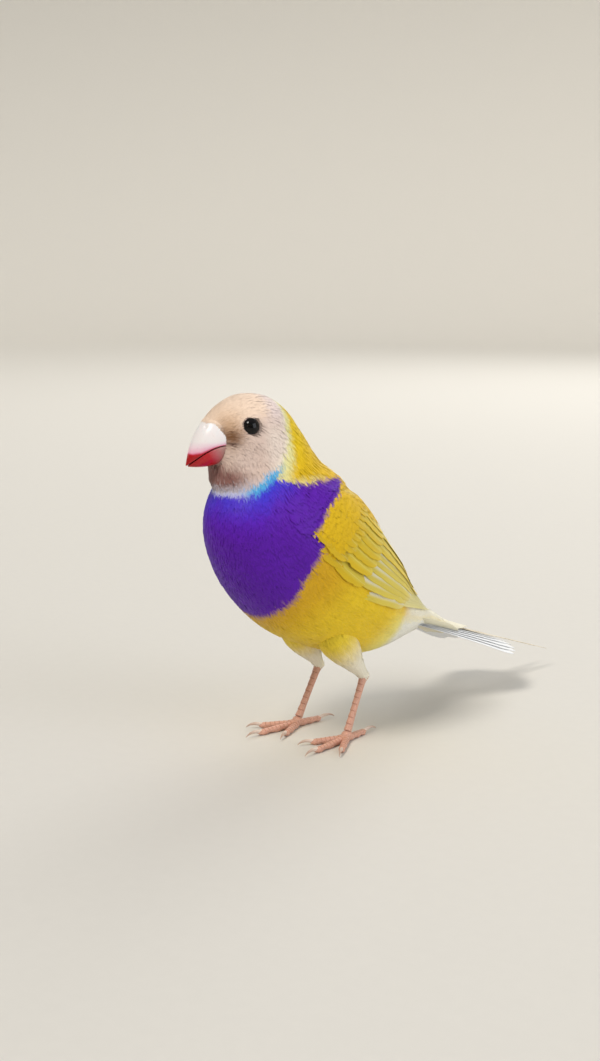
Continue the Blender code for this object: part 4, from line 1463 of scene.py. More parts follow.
@dataclass
class Coat:
    """The small feathers of head, neck, breast, back, belly and rump."""

    shoulder_code: str = "e4bb0e"
    bristle_thickness: float = 0.04
    fine: Template = field(default_factory=lambda: barb_tuft(POINTED_BARBS))
    frayed: Template = field(default_factory=lambda: small_vane(FRAYED_TIPS, FRAYED_ROWS))

    def layers(self) -> list[Layer]:
        """The vanes of the body, the barbs of the head, and loose barbs that soften the body's vanes."""
        body = (0.0, 2.0, 4.0, 6.0, 7.5, 8.6, 9.8)
        return [
            Layer(
                "vanes", self.frayed, body, thickness=0.04, seed=11,
                spacing=(1.0, 1.05, 1.1, 1.0, 0.85, 0.7, 0.6), length=(8.0, 8.5, 8.5, 7.5, 6.0, 4.6, 3.6),
                width=(2.5, 2.8, 3.0, 2.8, 2.2, 1.7, 1.4),
            ),
            Layer(
                "loose", self.fine, body, thickness=0.04, seed=23,
                spacing=(0.6, 0.6, 0.6, 0.58, 0.5, 0.43, 0.38), length=(5.5, 5.5, 5.0, 4.5, 3.8, 3.2, 2.8),
                width=(0.66, 0.66, 0.66, 0.6, 0.52, 0.47, 0.44), root_share=0.4, tip_rise=0.05,
                raggedness=0.035, splay=8.0,
            ),
            Layer(
                "head", self.fine, (7.0, 9.0, 10.5, 12.0, 13.0, 14.0), thickness=0.022, seed=37,
                spacing=(0.62, 0.42, 0.35, 0.31, 0.27, 0.24), length=(4.4, 3.6, 3.1, 2.5, 1.9, 1.1),
                width=(0.9, 0.66, 0.56, 0.5, 0.42, 0.3), raggedness=0.008, softness=0.9, low=9.0,
                high=13.98,
            )
        ]

    def shoulders(self) -> Piece:
        """The small coverts that soften the fore edge of both folded wings."""
        layer = Layer(
            "coat_shoulders", self.frayed, (5.5, 6.4, 6.8, 7.2), thickness=0.05, seed=53,
            spacing=(0.75, 0.66, 0.52, 0.42), length=(4.2, 3.8, 2.9, 2.2), width=(1.8, 1.6, 1.25, 1.0),
            root_share=0.8, softness=0.85, low=6.0, high=7.2, on_wing=True, bare=off_shoulder,
        )
        return layer.lay(layer.name, layer.coverage(), self.shoulder_paint)

    def shoulder_paint(self, t: Array, a: Array) -> Array:
        """The deep yellow of the wing's shoulder, with the body's own colours on its foremost edge."""
        result = filled(self.shoulder_code, t)
        front = WING_FRONT - wing_setback(from_back(a))
        lay_over(result, MARKINGS.colour(t, a), eased(t, front - 0.54, front - 0.4))
        return result

    @staticmethod
    def bristle_paint(t: Array, a: Array) -> Array:
        """The colours round the bill: cream over it, brown at its sides and under it."""
        degrees = from_back(a)
        result = filled(MARKINGS.crown, t)
        lay_over(result, MARKINGS.lores, eased(degrees, 38, 66) * 0.8)
        lay_over(result, MARKINGS.throat, eased(degrees, 90, 125) * 0.8)
        return result

    def bristles(self) -> Piece:
        """The short feathers that close round the root of the bill."""
        base = BillBase()
        t, a = scattered(base, -1.1, 2.1, base.spacing, base.beyond, 61)
        rng = np.random.default_rng(62)
        count = len(t)
        tufts = Coverage(
            t=t, a=a, length=rng.uniform(0.9, 1.4, count), width=rng.uniform(0.28, 0.38, count),
            turn=np.radians(rng.normal(0.0, 6.0, count)), root_lift=np.full(count, -0.06),
            tip_lift=rng.normal(0.2, 0.03, count), shade=rng.uniform(0.0, 1.0, count),
        )
        return lay_tufts("coat_bristles", base, tufts, self.fine, self.bristle_thickness, self.bristle_paint)

    def build(self) -> None:
        """Lays every layer, splits it into regions, and joins each region's layers into one piece."""
        found: dict[str, list[Piece]] = {region.name: [] for region in REGIONS}
        for layer in self.layers():
            tufts = layer.coverage()
            left = np.ones(len(tufts.t), bool)
            for region in REGIONS:
                mine = left & region.holds(tufts.t, tufts.a)
                left &= ~mine
                if mine.any():
                    name = f"{region.name}_{layer.name}"
                    found[region.name].append(layer.lay(name, tufts.part(mine), MARKINGS.colour))
        for region in REGIONS:
            settle(joined(region.name, found[region.name]), region.finish, region.slot)
        settle(self.shoulders(), BODY_FINISH, Slot.WING)
        settle(self.bristles(), HEAD_FINISH, Slot.CREAM)


@dataclass(frozen=True)
class Limb(Surface):
    """A feathered thigh: a tapering round limb, with station 0 at the ankle and 1 at the hip."""

    ankle: tuple[float, float, float]
    knee: tuple[float, float, float]
    shares: tuple[float, ...] = (0.0, 0.12, 0.28, 0.5, 0.75, 1.0, 1.1, 1.18, 1.24, 1.26)
    radii: tuple[float, ...] = (1.2, 1.5, 2.3, 3.6, 4.8, 5.0, 4.5, 3.4, 1.8, 0.3)
    span: tuple[float, float] = (0.0, 1.0)
    hip_code: str = "f1d335"
    ankle_code: str = "f6f0dc"

    def point(self, t: Array, a: Array, lift: Array | float) -> Array:
        """Points in millimetres at places, a lift above the surface."""
        t, a, lift = np.broadcast_arrays(t, a, lift)
        start, end = np.array(self.ankle), np.array(self.knee)
        run = (end - start) / np.linalg.norm(end - start)
        side = np.cross(run, (0.0, 1.0, 0.0))
        side /= np.linalg.norm(side)
        front = np.cross(side, run)
        reach = np.interp(t, self.shares, self.radii) + lift
        centre = start + (end - start) * t[..., None]
        return centre + (side * np.cos(a)[..., None] + front * np.sin(a)[..., None]) * reach[..., None]

    def marking(self, t: Array, a: Array) -> Array:
        """The thigh's colour, from pale yellow at the hip to nearly white at the ankle."""
        result = filled(self.ankle_code, t)
        lay_over(result, self.hip_code, eased(t, 0.25, 0.95))
        return result

    def spacing(self, t: Array) -> Array:
        """The distance between feathers at stations."""
        return np.interp(t, (0, 1), (0.3, 0.45))

    def bare(self, t: Array, a: Array) -> Array:
        """Where nothing grows: nowhere on a thigh."""
        return np.zeros(np.shape(t), bool)


FOOT_SIDE, FOOT_AHEAD, FOOT_UP = 8.6, 1.5, 1.5
SHANK_LENGTH, SHANK_LEAN = 15.5, math.radians(27)
ANKLE_INWARD = 0.8
KNEE_AHEAD, KNEE_INWARD, KNEE_UP = 3.2, 2.4, 28.0
TOES = ((6.0, 12.0, 4.4), (-26.0, 9.0, 3.8), (36.0, 9.4, 3.8), (186.0, 7.4, 5.0))
TOE_SHARES = (-0.04, 0.0, 0.12, 0.25, 0.33, 0.42, 0.5, 0.58, 0.66, 0.76, 0.84, 0.92, 1.02, 1.06)
TOE_HEIGHTS = (1.0, 1.25, 1.0, 0.78, 0.85, 0.92, 0.82, 0.74, 0.82, 0.88, 0.78, 0.74, 0.8, 0.75)
TOE_RADII = (0.2, 1.0, 1.0, 0.92, 0.86, 0.76, 0.86, 0.9, 0.78, 0.68, 0.78, 0.82, 0.5, 0.15)
CLAW_SHARES = (-0.2, 0.0, 0.3, 0.5, 0.7, 0.86, 1.0)
CLAW_HEIGHTS = (0.9, 1.06, 1.25, 1.27, 1.14, 0.86, 0.42)


def plate_line(steps: Array, width: float) -> Array:
    """How deep places lie in the lines between plates, each one step long, with lines of a half width."""
    step = steps % 1.0
    return np.exp(-((np.minimum(step, 1 - step) / width) ** 2))


@dataclass
class Leg:
    """One leg: a feathered thigh, a scaled shank, and a foot with four clawed toes."""

    side: Side
    shank_radius: float = 1.0
    scutes: int = 9
    scuted: float = 0.88
    scute_height: float = 0.16
    knob_place: float = 0.93
    knob_height: float = 0.42
    pad_step: float = 0.09
    knuckle_radius: float = 1.36

    def at(self, side: float, ahead: float, up: float) -> Array:
        """A place of this leg in millimetres."""
        return np.array((side * self.side.value, -ahead, up))

    @property
    def foot(self) -> Array:
        """Where the toes meet."""
        return self.at(FOOT_SIDE, FOOT_AHEAD, FOOT_UP)

    @property
    def ankle(self) -> Array:
        """The upper end of the shank."""
        rise = np.array((0, math.sin(SHANK_LEAN), math.cos(SHANK_LEAN)))
        return self.foot + rise * SHANK_LENGTH + np.array((-ANKLE_INWARD * self.side.value, 0, 0))

    def limb(self) -> Limb:
        """The thigh's form, from the ankle to the knee under the flank."""
        knee = self.at(FOOT_SIDE - KNEE_INWARD, FOOT_AHEAD + KNEE_AHEAD, KNEE_UP)
        return Limb(tuple(self.ankle), tuple(knee))

    def thigh_skin(self) -> Piece:
        """The thigh's flesh, a rolled form under its coat."""
        limb = self.limb()

        def shape(u: Array, v: Array) -> Array:
            """Points of the flesh, sunk under the coat but for its two ends."""
            sunk = (0.5 * eased(v, 0.0, 0.3) + 0.6 * eased(v, 0.4, 0.7)) * (1 - eased(v, 0.92, 1.0))
            return limb.point(0.04 + 1.22 * v, u * TURN, -sunk)

        def colours(u: Array, v: Array) -> Array:
            """The coat's own marking."""
            return limb.marking(v, u)

        return rolled("thigh_skin", shape, 32, 24, Marking=colours)

    def thigh_coat(self, template: Template) -> Piece:
        """The thigh's short feathers, which lie down towards the ankle.

        Args:
            template: The modelled feather.

        Returns:
            The joined feathers, in millimetres.
        """
        limb = self.limb()
        t, a = scattered(limb, 0.06, 1.16, limb.spacing, limb.bare, 41)
        rng = np.random.default_rng(42)
        count = len(t)
        tufts = Coverage(
            t=t, a=a, length=np.interp(t, (0, 0.3, 1), (1.6, 3.2, 4.5)) * rng.uniform(0.85, 1.15, count),
            width=np.interp(t, (0, 1), (0.4, 0.65)) * rng.uniform(0.85, 1.15, count),
            turn=np.radians(rng.normal(0.0, 8.0, count)), root_lift=np.full(count, -0.45),
            tip_lift=rng.normal(0.12, 0.04, count) - 0.45 * eased(t, 0.7, 1.1),
            shade=rng.uniform(0.0, 1.0, count),
        )
        return lay_tufts(f"thigh_coat_{self.side.word}", limb, tufts, template, 0.05, limb.marking)

    def shank(self) -> Piece:
        """The shank, with overlapping plates down its front and a knobbed ankle."""
        foot = self.foot
        length = np.linalg.norm(self.ankle - foot)
        run = (self.ankle - foot) / length
        side = np.array((1.0, 0.0, 0.0))
        front = np.cross(run, side)
        front *= -np.sign(front[1])

        def shape(u: Array, v: Array) -> Array:
            """Points of the shank: plates in front, the ankle's knob above, closed at the top."""
            reach = 1.2 + (length - 0.2) * v
            angle = TURN * u
            front_face = eased(np.cos(angle), 0.1, 0.5) * (v < self.scuted)
            plate = self.scute_height * (1 - (v * self.scutes) % 1.0) * front_face
            knob = self.knob_height * np.exp(-(((v - self.knob_place) / 0.06) ** 2))
            radius = self.shank_radius * (0.86 + 0.2 * (2 * v - 0.9) ** 2) + plate * (1 - 0.5 * v) + knob
            radius = radius * np.sqrt(np.clip((1 - v) / 0.04, 0, 1) * 0.999 + 0.001)
            ring = side * (np.sin(angle) * radius * 0.86)[:, None] + front * (np.cos(angle) * radius)[:, None]
            return foot + run * reach[:, None] + ring

        def crease(u: Array, v: Array) -> Array:
            """How deep places lie in the lines between the plates."""
            front = eased(np.cos(TURN * u), 0.0, 0.4) * (v < self.scuted)
            return plate_line(v * self.scutes, 0.07) * front

        return rolled(f"shank_{self.side.word}", shape, 28, 150, Crease=crease)

    def toe_axes(self, heading: float) -> tuple[Array, Array, Array]:
        """A toe's root on the floor, the way that it points and the way across it."""
        angle = math.radians(heading * self.side.value)
        run = np.array((math.sin(angle), -math.cos(angle), 0.0))
        return self.foot * (1, 1, 0), run, np.array((run[1], -run[0], 0.0))

    def toe(self, heading: float, length: float) -> Piece:
        """A toe with plates on top and pads below, flat where it presses on the floor.

        Args:
            heading: Where it points, in degrees outwards from straight ahead.
            length: Its length in millimetres.

        Returns:
            The toe.
        """
        base, run, across = self.toe_axes(heading)
        plates = max(6, int(length * 0.9))

        def shape(u: Array, v: Array) -> Array:
            """Points of the toe, none of them under the floor."""
            share = -0.04 + 1.1 * v
            turn = TURN * u
            step = (share * plates) % 1.0
            radius = np.interp(share, TOE_SHARES, TOE_RADII)
            radius = radius + self.pad_step * (step - 0.5) * eased(np.cos(turn), 0.2, 0.7) * (share < 0.95)
            up = np.interp(share, TOE_SHARES, TOE_HEIGHTS) + np.cos(turn) * radius
            ring = base + run * (length * share)[:, None] + across * (np.sin(turn) * radius)[:, None]
            ring[:, 2] = np.maximum(up, 0.0)
            return ring

        def crease(u: Array, v: Array) -> Array:
            """How deep places lie in the lines between the plates."""
            lines = plate_line((-0.04 + 1.1 * v) * plates, 0.1)
            return 0.8 * lines * eased(np.cos(TURN * u), 0.0, 0.5)

        return rolled("toe", shape, 20, 110, Crease=crease)

    def claw(self, heading: float, length: float, reach: float) -> Piece:
        """A curved, pointed claw at a toe's end.

        Args:
            heading: Where its toe points, in degrees outwards from straight ahead.
            length: The toe's length in millimetres.
            reach: The claw's own length.

        Returns:
            The claw.
        """
        base, run, across = self.toe_axes(heading)

        def shape(u: Array, v: Array) -> Array:
            """Points of the claw, arched over the floor."""
            share = -0.2 + 1.2 * v
            up = np.interp(share, CLAW_SHARES, CLAW_HEIGHTS)
            radius = np.interp(share, (-0.2, 0.3, 0.7, 0.95, 1.0), (0.5, 0.46, 0.29, 0.12, 0.05))
            turn = TURN * u
            aside = np.sin(turn) * radius * 0.8
            ring = base + run * (length + reach * share)[:, None] + across * aside[:, None]
            ring[:, 2] = up + np.cos(turn) * radius
            return ring

        def blush(u: Array, v: Array) -> Array:
            """Shares of the way from root to tip."""
            return v

        return rolled("claw", shape, 14, 26, Blush=blush)

    def knuckle(self) -> Piece:
        """The root of the toes, a rounded knot under the shank."""
        middle = tuple(self.foot)
        select_only()
        bpy.ops.mesh.primitive_uv_sphere_add(
            segments=32, ring_count=20, radius=self.knuckle_radius, location=middle
        )
        bpy.ops.object.transform_apply(location=True, rotation=True, scale=True)
        with editing():
            bpy.ops.transform.resize(value=(0.95, 1.05, 1.0), center_override=middle)
        bpy.ops.object.shade_smooth()
        return bpy.context.object

    def build(self, template: Template) -> None:
        """Builds the leg's pieces, the thigh's flesh apart, which is part of the skin."""
        word = self.side.word
        settle(self.thigh_coat(template), THIGH_FINISH, Slot.PALE_YELLOW)
        settle(self.shank(), LEG_FINISH, Slot.LEG, f"shank_{word}")
        toes = [self.toe(heading, length) for heading, length, _ in TOES]
        settle(joined(f"toes_{word}", [self.knuckle(), *toes]), LEG_FINISH, Slot.LEG, f"foot_{word}")
        settle(joined(f"claws_{word}", [self.claw(*toe) for toe in TOES]), ClawFinish(), Slot.LEG)


@dataclass
class Skin:
    """The one skin under the coat, from the bill to the tail, thighs included."""

    legs: Sequence[Leg]
    around: int = 112
    lengthwise: int = 300
    eye_dent: float = 0.35
    eye_rim: float = 0.45
    rim_reach: float = 3.0

    def lift(self, t: Array, a: Array) -> Array:
        """How high the skin lies against the trunk's outer form."""
        result = bump_over(t, a) + throat_fluff(t, a) - COAT.depth_at(t)
        places = TRUNK.point(t, a, 0.0)
        for side in Side:
            centre, _ = TRUNK.eye_axis(side, 0.0)
            far = np.linalg.norm(places - centre, axis=-1)
            rim = self.eye_rim * np.exp(-((far / self.rim_reach) ** 2))
            result = result + rim - self.eye_dent * np.exp(-((far / EYE_CLEAR) ** 4))
        return result

    @staticmethod
    def places(u: Array, v: Array) -> tuple[Array, Array]:
        """Stations and angles from shares round the skin and along it."""
        return v * TRUNK.span[1], u * TURN

    def shape(self, u: Array, v: Array) -> Array:
        """Points of the skin from shares round it and along it."""
        t, a = self.places(u, v)
        return TRUNK.point(t, a, self.lift(t, a))

    def colours(self, u: Array, v: Array) -> Array:
        """The coat's own marking from the same shares."""
        return MARKINGS.colour(*self.places(u, v))

    def build(self) -> None:
        """Rolls the trunk's skin, fuses the thighs to it and settles it."""
        skin = rolled("skin", self.shape, self.around, self.lengthwise, Marking=self.colours)
        for leg in self.legs:
            thigh = leg.thigh_skin()
            apply_modifier(skin, "BOOLEAN", operation="UNION", object=thigh, solver="EXACT")
            bpy.data.objects.remove(thigh)
        skin.data.shade_smooth()
        nodes = ("head", "neck", "torso", "rump", "thigh_left", "thigh_right")
        settle(skin, SkinFinish(), Slot.CREAM, *nodes)


BLADE_ROWS = 22


@dataclass(frozen=True)
class Blade:
    """The modelled blade of a large feather, in rows along it and columns across it."""

    columns: tuple[float, ...] = (-1.0, -0.75, -0.45, -0.16, -0.03, 0.03, 0.16, 0.45, 0.75, 1.0)

    def model(self) -> Template:
        """Models the blade flat as a closed sheet. Its third number is 1 on top and 0 below."""
        select_only()
        across = len(self.columns) - 1
        bpy.ops.mesh.primitive_grid_add(x_subdivisions=across, y_subdivisions=BLADE_ROWS - 1, size=2.0)
        obj = bpy.context.object
        places = points_of(obj)
        column = np.rint((places[:, 0] + 1) / 2 * across).astype(int)
        share = (places[:, 1] + 1) / 2
        set_points(obj, np.stack([np.array(self.columns)[column], share, np.ones(len(share))], 1))
        with editing():
            bpy.ops.mesh.extrude_region_move(TRANSFORM_OT_translate={"value": (0, 0, -1.0)})
        return template_of(obj)


ROUND_TIP = ((0.0, 0.5), (0.2, 0.85), (0.5, 1.0), (0.8, 0.9), (0.9, 0.72), (0.96, 0.48), (1.0, 0.12))
POINTED_TIP = ((0.0, 0.5), (0.35, 1.0), (0.72, 0.85), (0.86, 0.6), (0.94, 0.36), (1.0, 0.06))
COVERT_TIP = ((0.0, 0.55), (0.55, 1.0), (0.8, 0.86), (0.92, 0.6), (1.0, 0.12))
PIN_TIP = ((0.0, 0.6), (0.3, 1.0), (0.52, 0.75), (0.62, 0.46), (0.72, 0.3), (0.86, 0.2), (1.0, 0.05))


@dataclass
class Plume:
    """One large feather: its shaft's line with the ways across and out, and its look."""

    centre: Array
    across: Array
    out: Array
    half_width: Array
    length: float
    tilt: float
    cup: float
    outer_web: float
    outer_colour: Array
    inner_colour: Array
    shade: float
    seed: int
    thickness: float = 0.12
    raggedness: float = 0.02
    notch: float = 0.86
    shaft_height: float = 0.05
    ripple: float = 0.02
    edge_fade: float = 0.25

    def points(self, template: Template) -> tuple[Array, Array, Array, Array]:
        """Bends the blade along the shaft.

        Args:
            template: The modelled blade.

        Returns:
            The points, the reach across in millimetres, the markings, and the ways out of its faces.
        """
        rng = np.random.default_rng(self.seed)
        column, share, side = template.points.T
        rows = len(self.centre)
        place = np.rint(share * (rows - 1)).astype(int)
        web = np.where(column > 0, self.outer_web, 2 - self.outer_web)
        ragged = 1 + rng.normal(0, self.raggedness, (rows, 2))
        for edge in (0, 1):
            for _ in range(rng.integers(0, 2)):
                ragged[rng.integers(rows // 3, rows - 2), edge] *= self.notch
        rag = ragged[place, (column > 0).astype(int)]
        rag = np.where(np.abs(column) > 0.9, rag, 1.0)
        reach = column * self.half_width[place] * web * rag
        ridge = self.shaft_height * np.exp(-((column / 0.1) ** 2)) * (side > 0.5) * (1 - 0.8 * share)
        height = self.tilt * reach - self.cup * reach**2 + ridge + (side - 0.5) * self.thickness
        height = height + self.ripple * np.sin(share * 40 + column * 9 + self.seed)
        points = self.centre[place] + self.across[place] * reach[:, None] + self.out[place] * height[:, None]
        outer = eased(column, -0.05, 0.5)[:, None]
        fade = 1 - self.edge_fade * eased(share, 0.75, 1.0)[:, None]
        slope = self.tilt - 2 * self.cup * reach
        face = self.out[place] - self.across[place] * slope[:, None]
        face = face * np.where(side > 0.5, 1.0, -1.0)[:, None]
        return points, reach, self.inner_colour + (self.outer_colour - self.inner_colour) * outer * fade, face


def plumes_object(name: str, plumes: Sequence[Plume], template: Template, mirror: bool) -> Piece:
    """Joins large feathers into one piece.

    Args:
        name: The piece's name.
        plumes: The feathers.
        template: The modelled blade.
        mirror: Whether the piece goes on the right side.

    Returns:
        The piece, in millimetres.
    """
    size = len(template.points)
    shaped = [plume.points(template) for plume in plumes]
    points = np.concatenate([item[0] for item in shaped])
    faces = []
    for index, plume in enumerate(plumes):
        run = plume.centre[1] - plume.centre[0]
        turned = np.dot(np.cross(plume.across[0], run), plume.out[0]) < 0
        own = template.faces + index * size
        faces.append(own[:, ::-1] if turned != mirror else own)
    faces = np.concatenate(faces)
    flip = (-1, 1, 1) if mirror else (1, 1, 1)
    obj = mesh_object(name, points * flip, faces)
    soften_shading(obj, unit(np.concatenate([item[3] for item in shaped])) * flip, 0.7)
    column, share, side = template.points.T
    reach = np.concatenate([item[1] for item in shaped])
    along = np.concatenate([share * plume.length for plume in plumes])
    store(
        obj, Marking=np.concatenate([item[2] for item in shaped]),
        Shade=np.repeat([plume.shade for plume in plumes], size),
        Along=np.tile(0.35 + 0.65 * share, len(plumes)), Barbs=np.stack([reach, along], axis=-1),
    )
    cells = math.ceil(math.sqrt(len(plumes)))
    index = np.arange(len(plumes))
    corner = np.stack([index % cells, index // cells], axis=-1) / cells
    spot = np.stack([0.06 + 0.2 * (column + 1) + 0.46 * (side < 0.5), 0.04 + 0.92 * share], axis=-1) / cells
    store(obj, OFBake=(corner[:, None] + spot[None]).reshape(-1, 2))
    return obj


@dataclass(frozen=True)
class WingRow:
    """A row of wing feathers between the one next to the back and the one on the lower edge.

    Roots and tips are pairs of a station and an angle in degrees. The lifts are those of root and tip
    against the wing's outer form.
    """

    name: str
    count: int
    first_root: tuple[float, float]
    last_root: tuple[float, float]
    first_tip: tuple[float, float]
    last_tip: tuple[float, float]
    half_width: float
    lifts: tuple[float, float]
    outline: Pairs
    outer_web: float
    outer_code: str
    inner_code: str
    tilt: float = 0.11


WING_ROWS = (
    WingRow(
        "primaries", 9, (3.9, 70), (4.3, 93), (0.95, 36), (0.35, 55), 2.5, (-0.8, -0.3), POINTED_TIP, 0.62,
        "ecdf8e", "f2eede",
    ),
    WingRow(
        "secondaries", 7, (5.0, 60), (5.2, 97), (1.6, 44), (3.0, 84), 3.0, (-0.7, -0.12), ROUND_TIP, 0.75,
        "e8cf4c", "f1ebcd",
    ),
    WingRow(
        "tertials", 4, (5.4, 34), (5.2, 60), (2.3, 21), (1.3, 38), 3.2, (-0.6, 0.0), ROUND_TIP, 0.9,
        "e6c52a", "ebd96e",
    ),
    WingRow(
        "greater_coverts", 9, (6.0, 46), (6.1, 101), (4.35, 42), (4.75, 99), 2.5, (-0.5, 0.02), COVERT_TIP,
        0.85, "e4bd12", "e6cc45",
    ),
    WingRow(
        "median_coverts", 11, (6.4, 45), (6.45, 102), (5.3, 44), (5.5, 100), 2.0, (-0.42, 0.05), COVERT_TIP,
        1.0, "e2b80a", "e4c230",
    ),
    WingRow(
        "lesser_coverts", 13, (6.8, 47), (6.6, 101), (5.95, 46), (5.95, 99), 1.7, (-0.45, -0.06),
        COVERT_TIP, 1.0, "e0b406", "e2bd20",
    ),
)


@dataclass
class Wing:
    """A folded wing: flight feathers in tiers under rows of coverts."""

    side: Side
    blade: Template
    vane_thickness: float = 0.07

    def plume(self, row: WingRow, share: float, seed: int) -> Plume:
        """One feather of a row.

        Args:
            row: The row.
            share: Its place in the row, from 0 at the back to 1 at the lower edge.
            seed: Seeds its small differences.

        Returns:
            The feather on the left wing.
        """
        rng = np.random.default_rng(seed)
        root = np.array(row.first_root) + (np.array(row.last_root) - row.first_root) * share
        tip = np.array(row.first_tip) + (np.array(row.last_tip) - row.first_tip) * share
        tip = tip + rng.normal(0, 1, 2) * (0.03, 0.7)
        s = np.linspace(0, 1, BLADE_ROWS)
        t = root[0] + (tip[0] - root[0]) * s
        bend = 0.5 * eased(s, 0, 1) + 0.5 * s
        a = np.radians(root[1] + (tip[1] - root[1]) * bend)
        lift = wing_height(t, a) + row.lifts[0] + (row.lifts[1] - row.lifts[0]) * s**0.8 + rng.normal(0, 0.02)
        centre = TRUNK.point(t, a, lift)
        out = TRUNK.normal(t, a)
        run = np.gradient(centre, axis=0)
        across = unit(np.cross(run, out))
        middle = (root[0] + tip[0]) / 2
        left, right = (TRUNK.point(middle, turn, 0.0) for turn in (math.pi / 2, -math.pi / 2))
        wide = np.linalg.norm(left - right) / 2
        return Plume(
            centre=centre, across=across, out=out,
            half_width=np.interp(s, *zip(*row.outline)) * row.half_width * rng.uniform(0.95, 1.05),
            length=float(np.linalg.norm(np.diff(centre, axis=0), axis=1).sum()), tilt=row.tilt,
            cup=1 / (2 * wide + 4), outer_web=row.outer_web, outer_colour=linear(row.outer_code),
            inner_colour=linear(row.inner_code), shade=rng.uniform(0.2, 0.8), seed=seed,
            thickness=self.vane_thickness,
        )

    def build(self) -> None:
        """Builds the flight feathers and the coverts as two pieces."""
        flight, coverts = [], []
        for number, row in enumerate(WING_ROWS):
            for k in range(row.count):
                seed = 100 * (number + 1) + 10 * k + (self.side is Side.LEFT)
                plume = self.plume(row, k / (row.count - 1), seed)
                (coverts if row.name.endswith("coverts") else flight).append(plume)
        mirror = self.side is Side.RIGHT
        word = self.side.word
        vanes = plumes_object(f"flight_feathers_{word}", flight, self.blade, mirror)
        settle(vanes, WING_FINISH, Slot.WING, f"wing_{word}")
        cover = plumes_object(f"wing_coverts_{word}", coverts, self.blade, mirror)
        settle(cover, WING_FINISH, Slot.WING)


@dataclass(frozen=True)
class TailPair:
    """A pair of tail feathers, counted from the middle outwards."""

    length: float
    half_width: float
    outline: Pairs


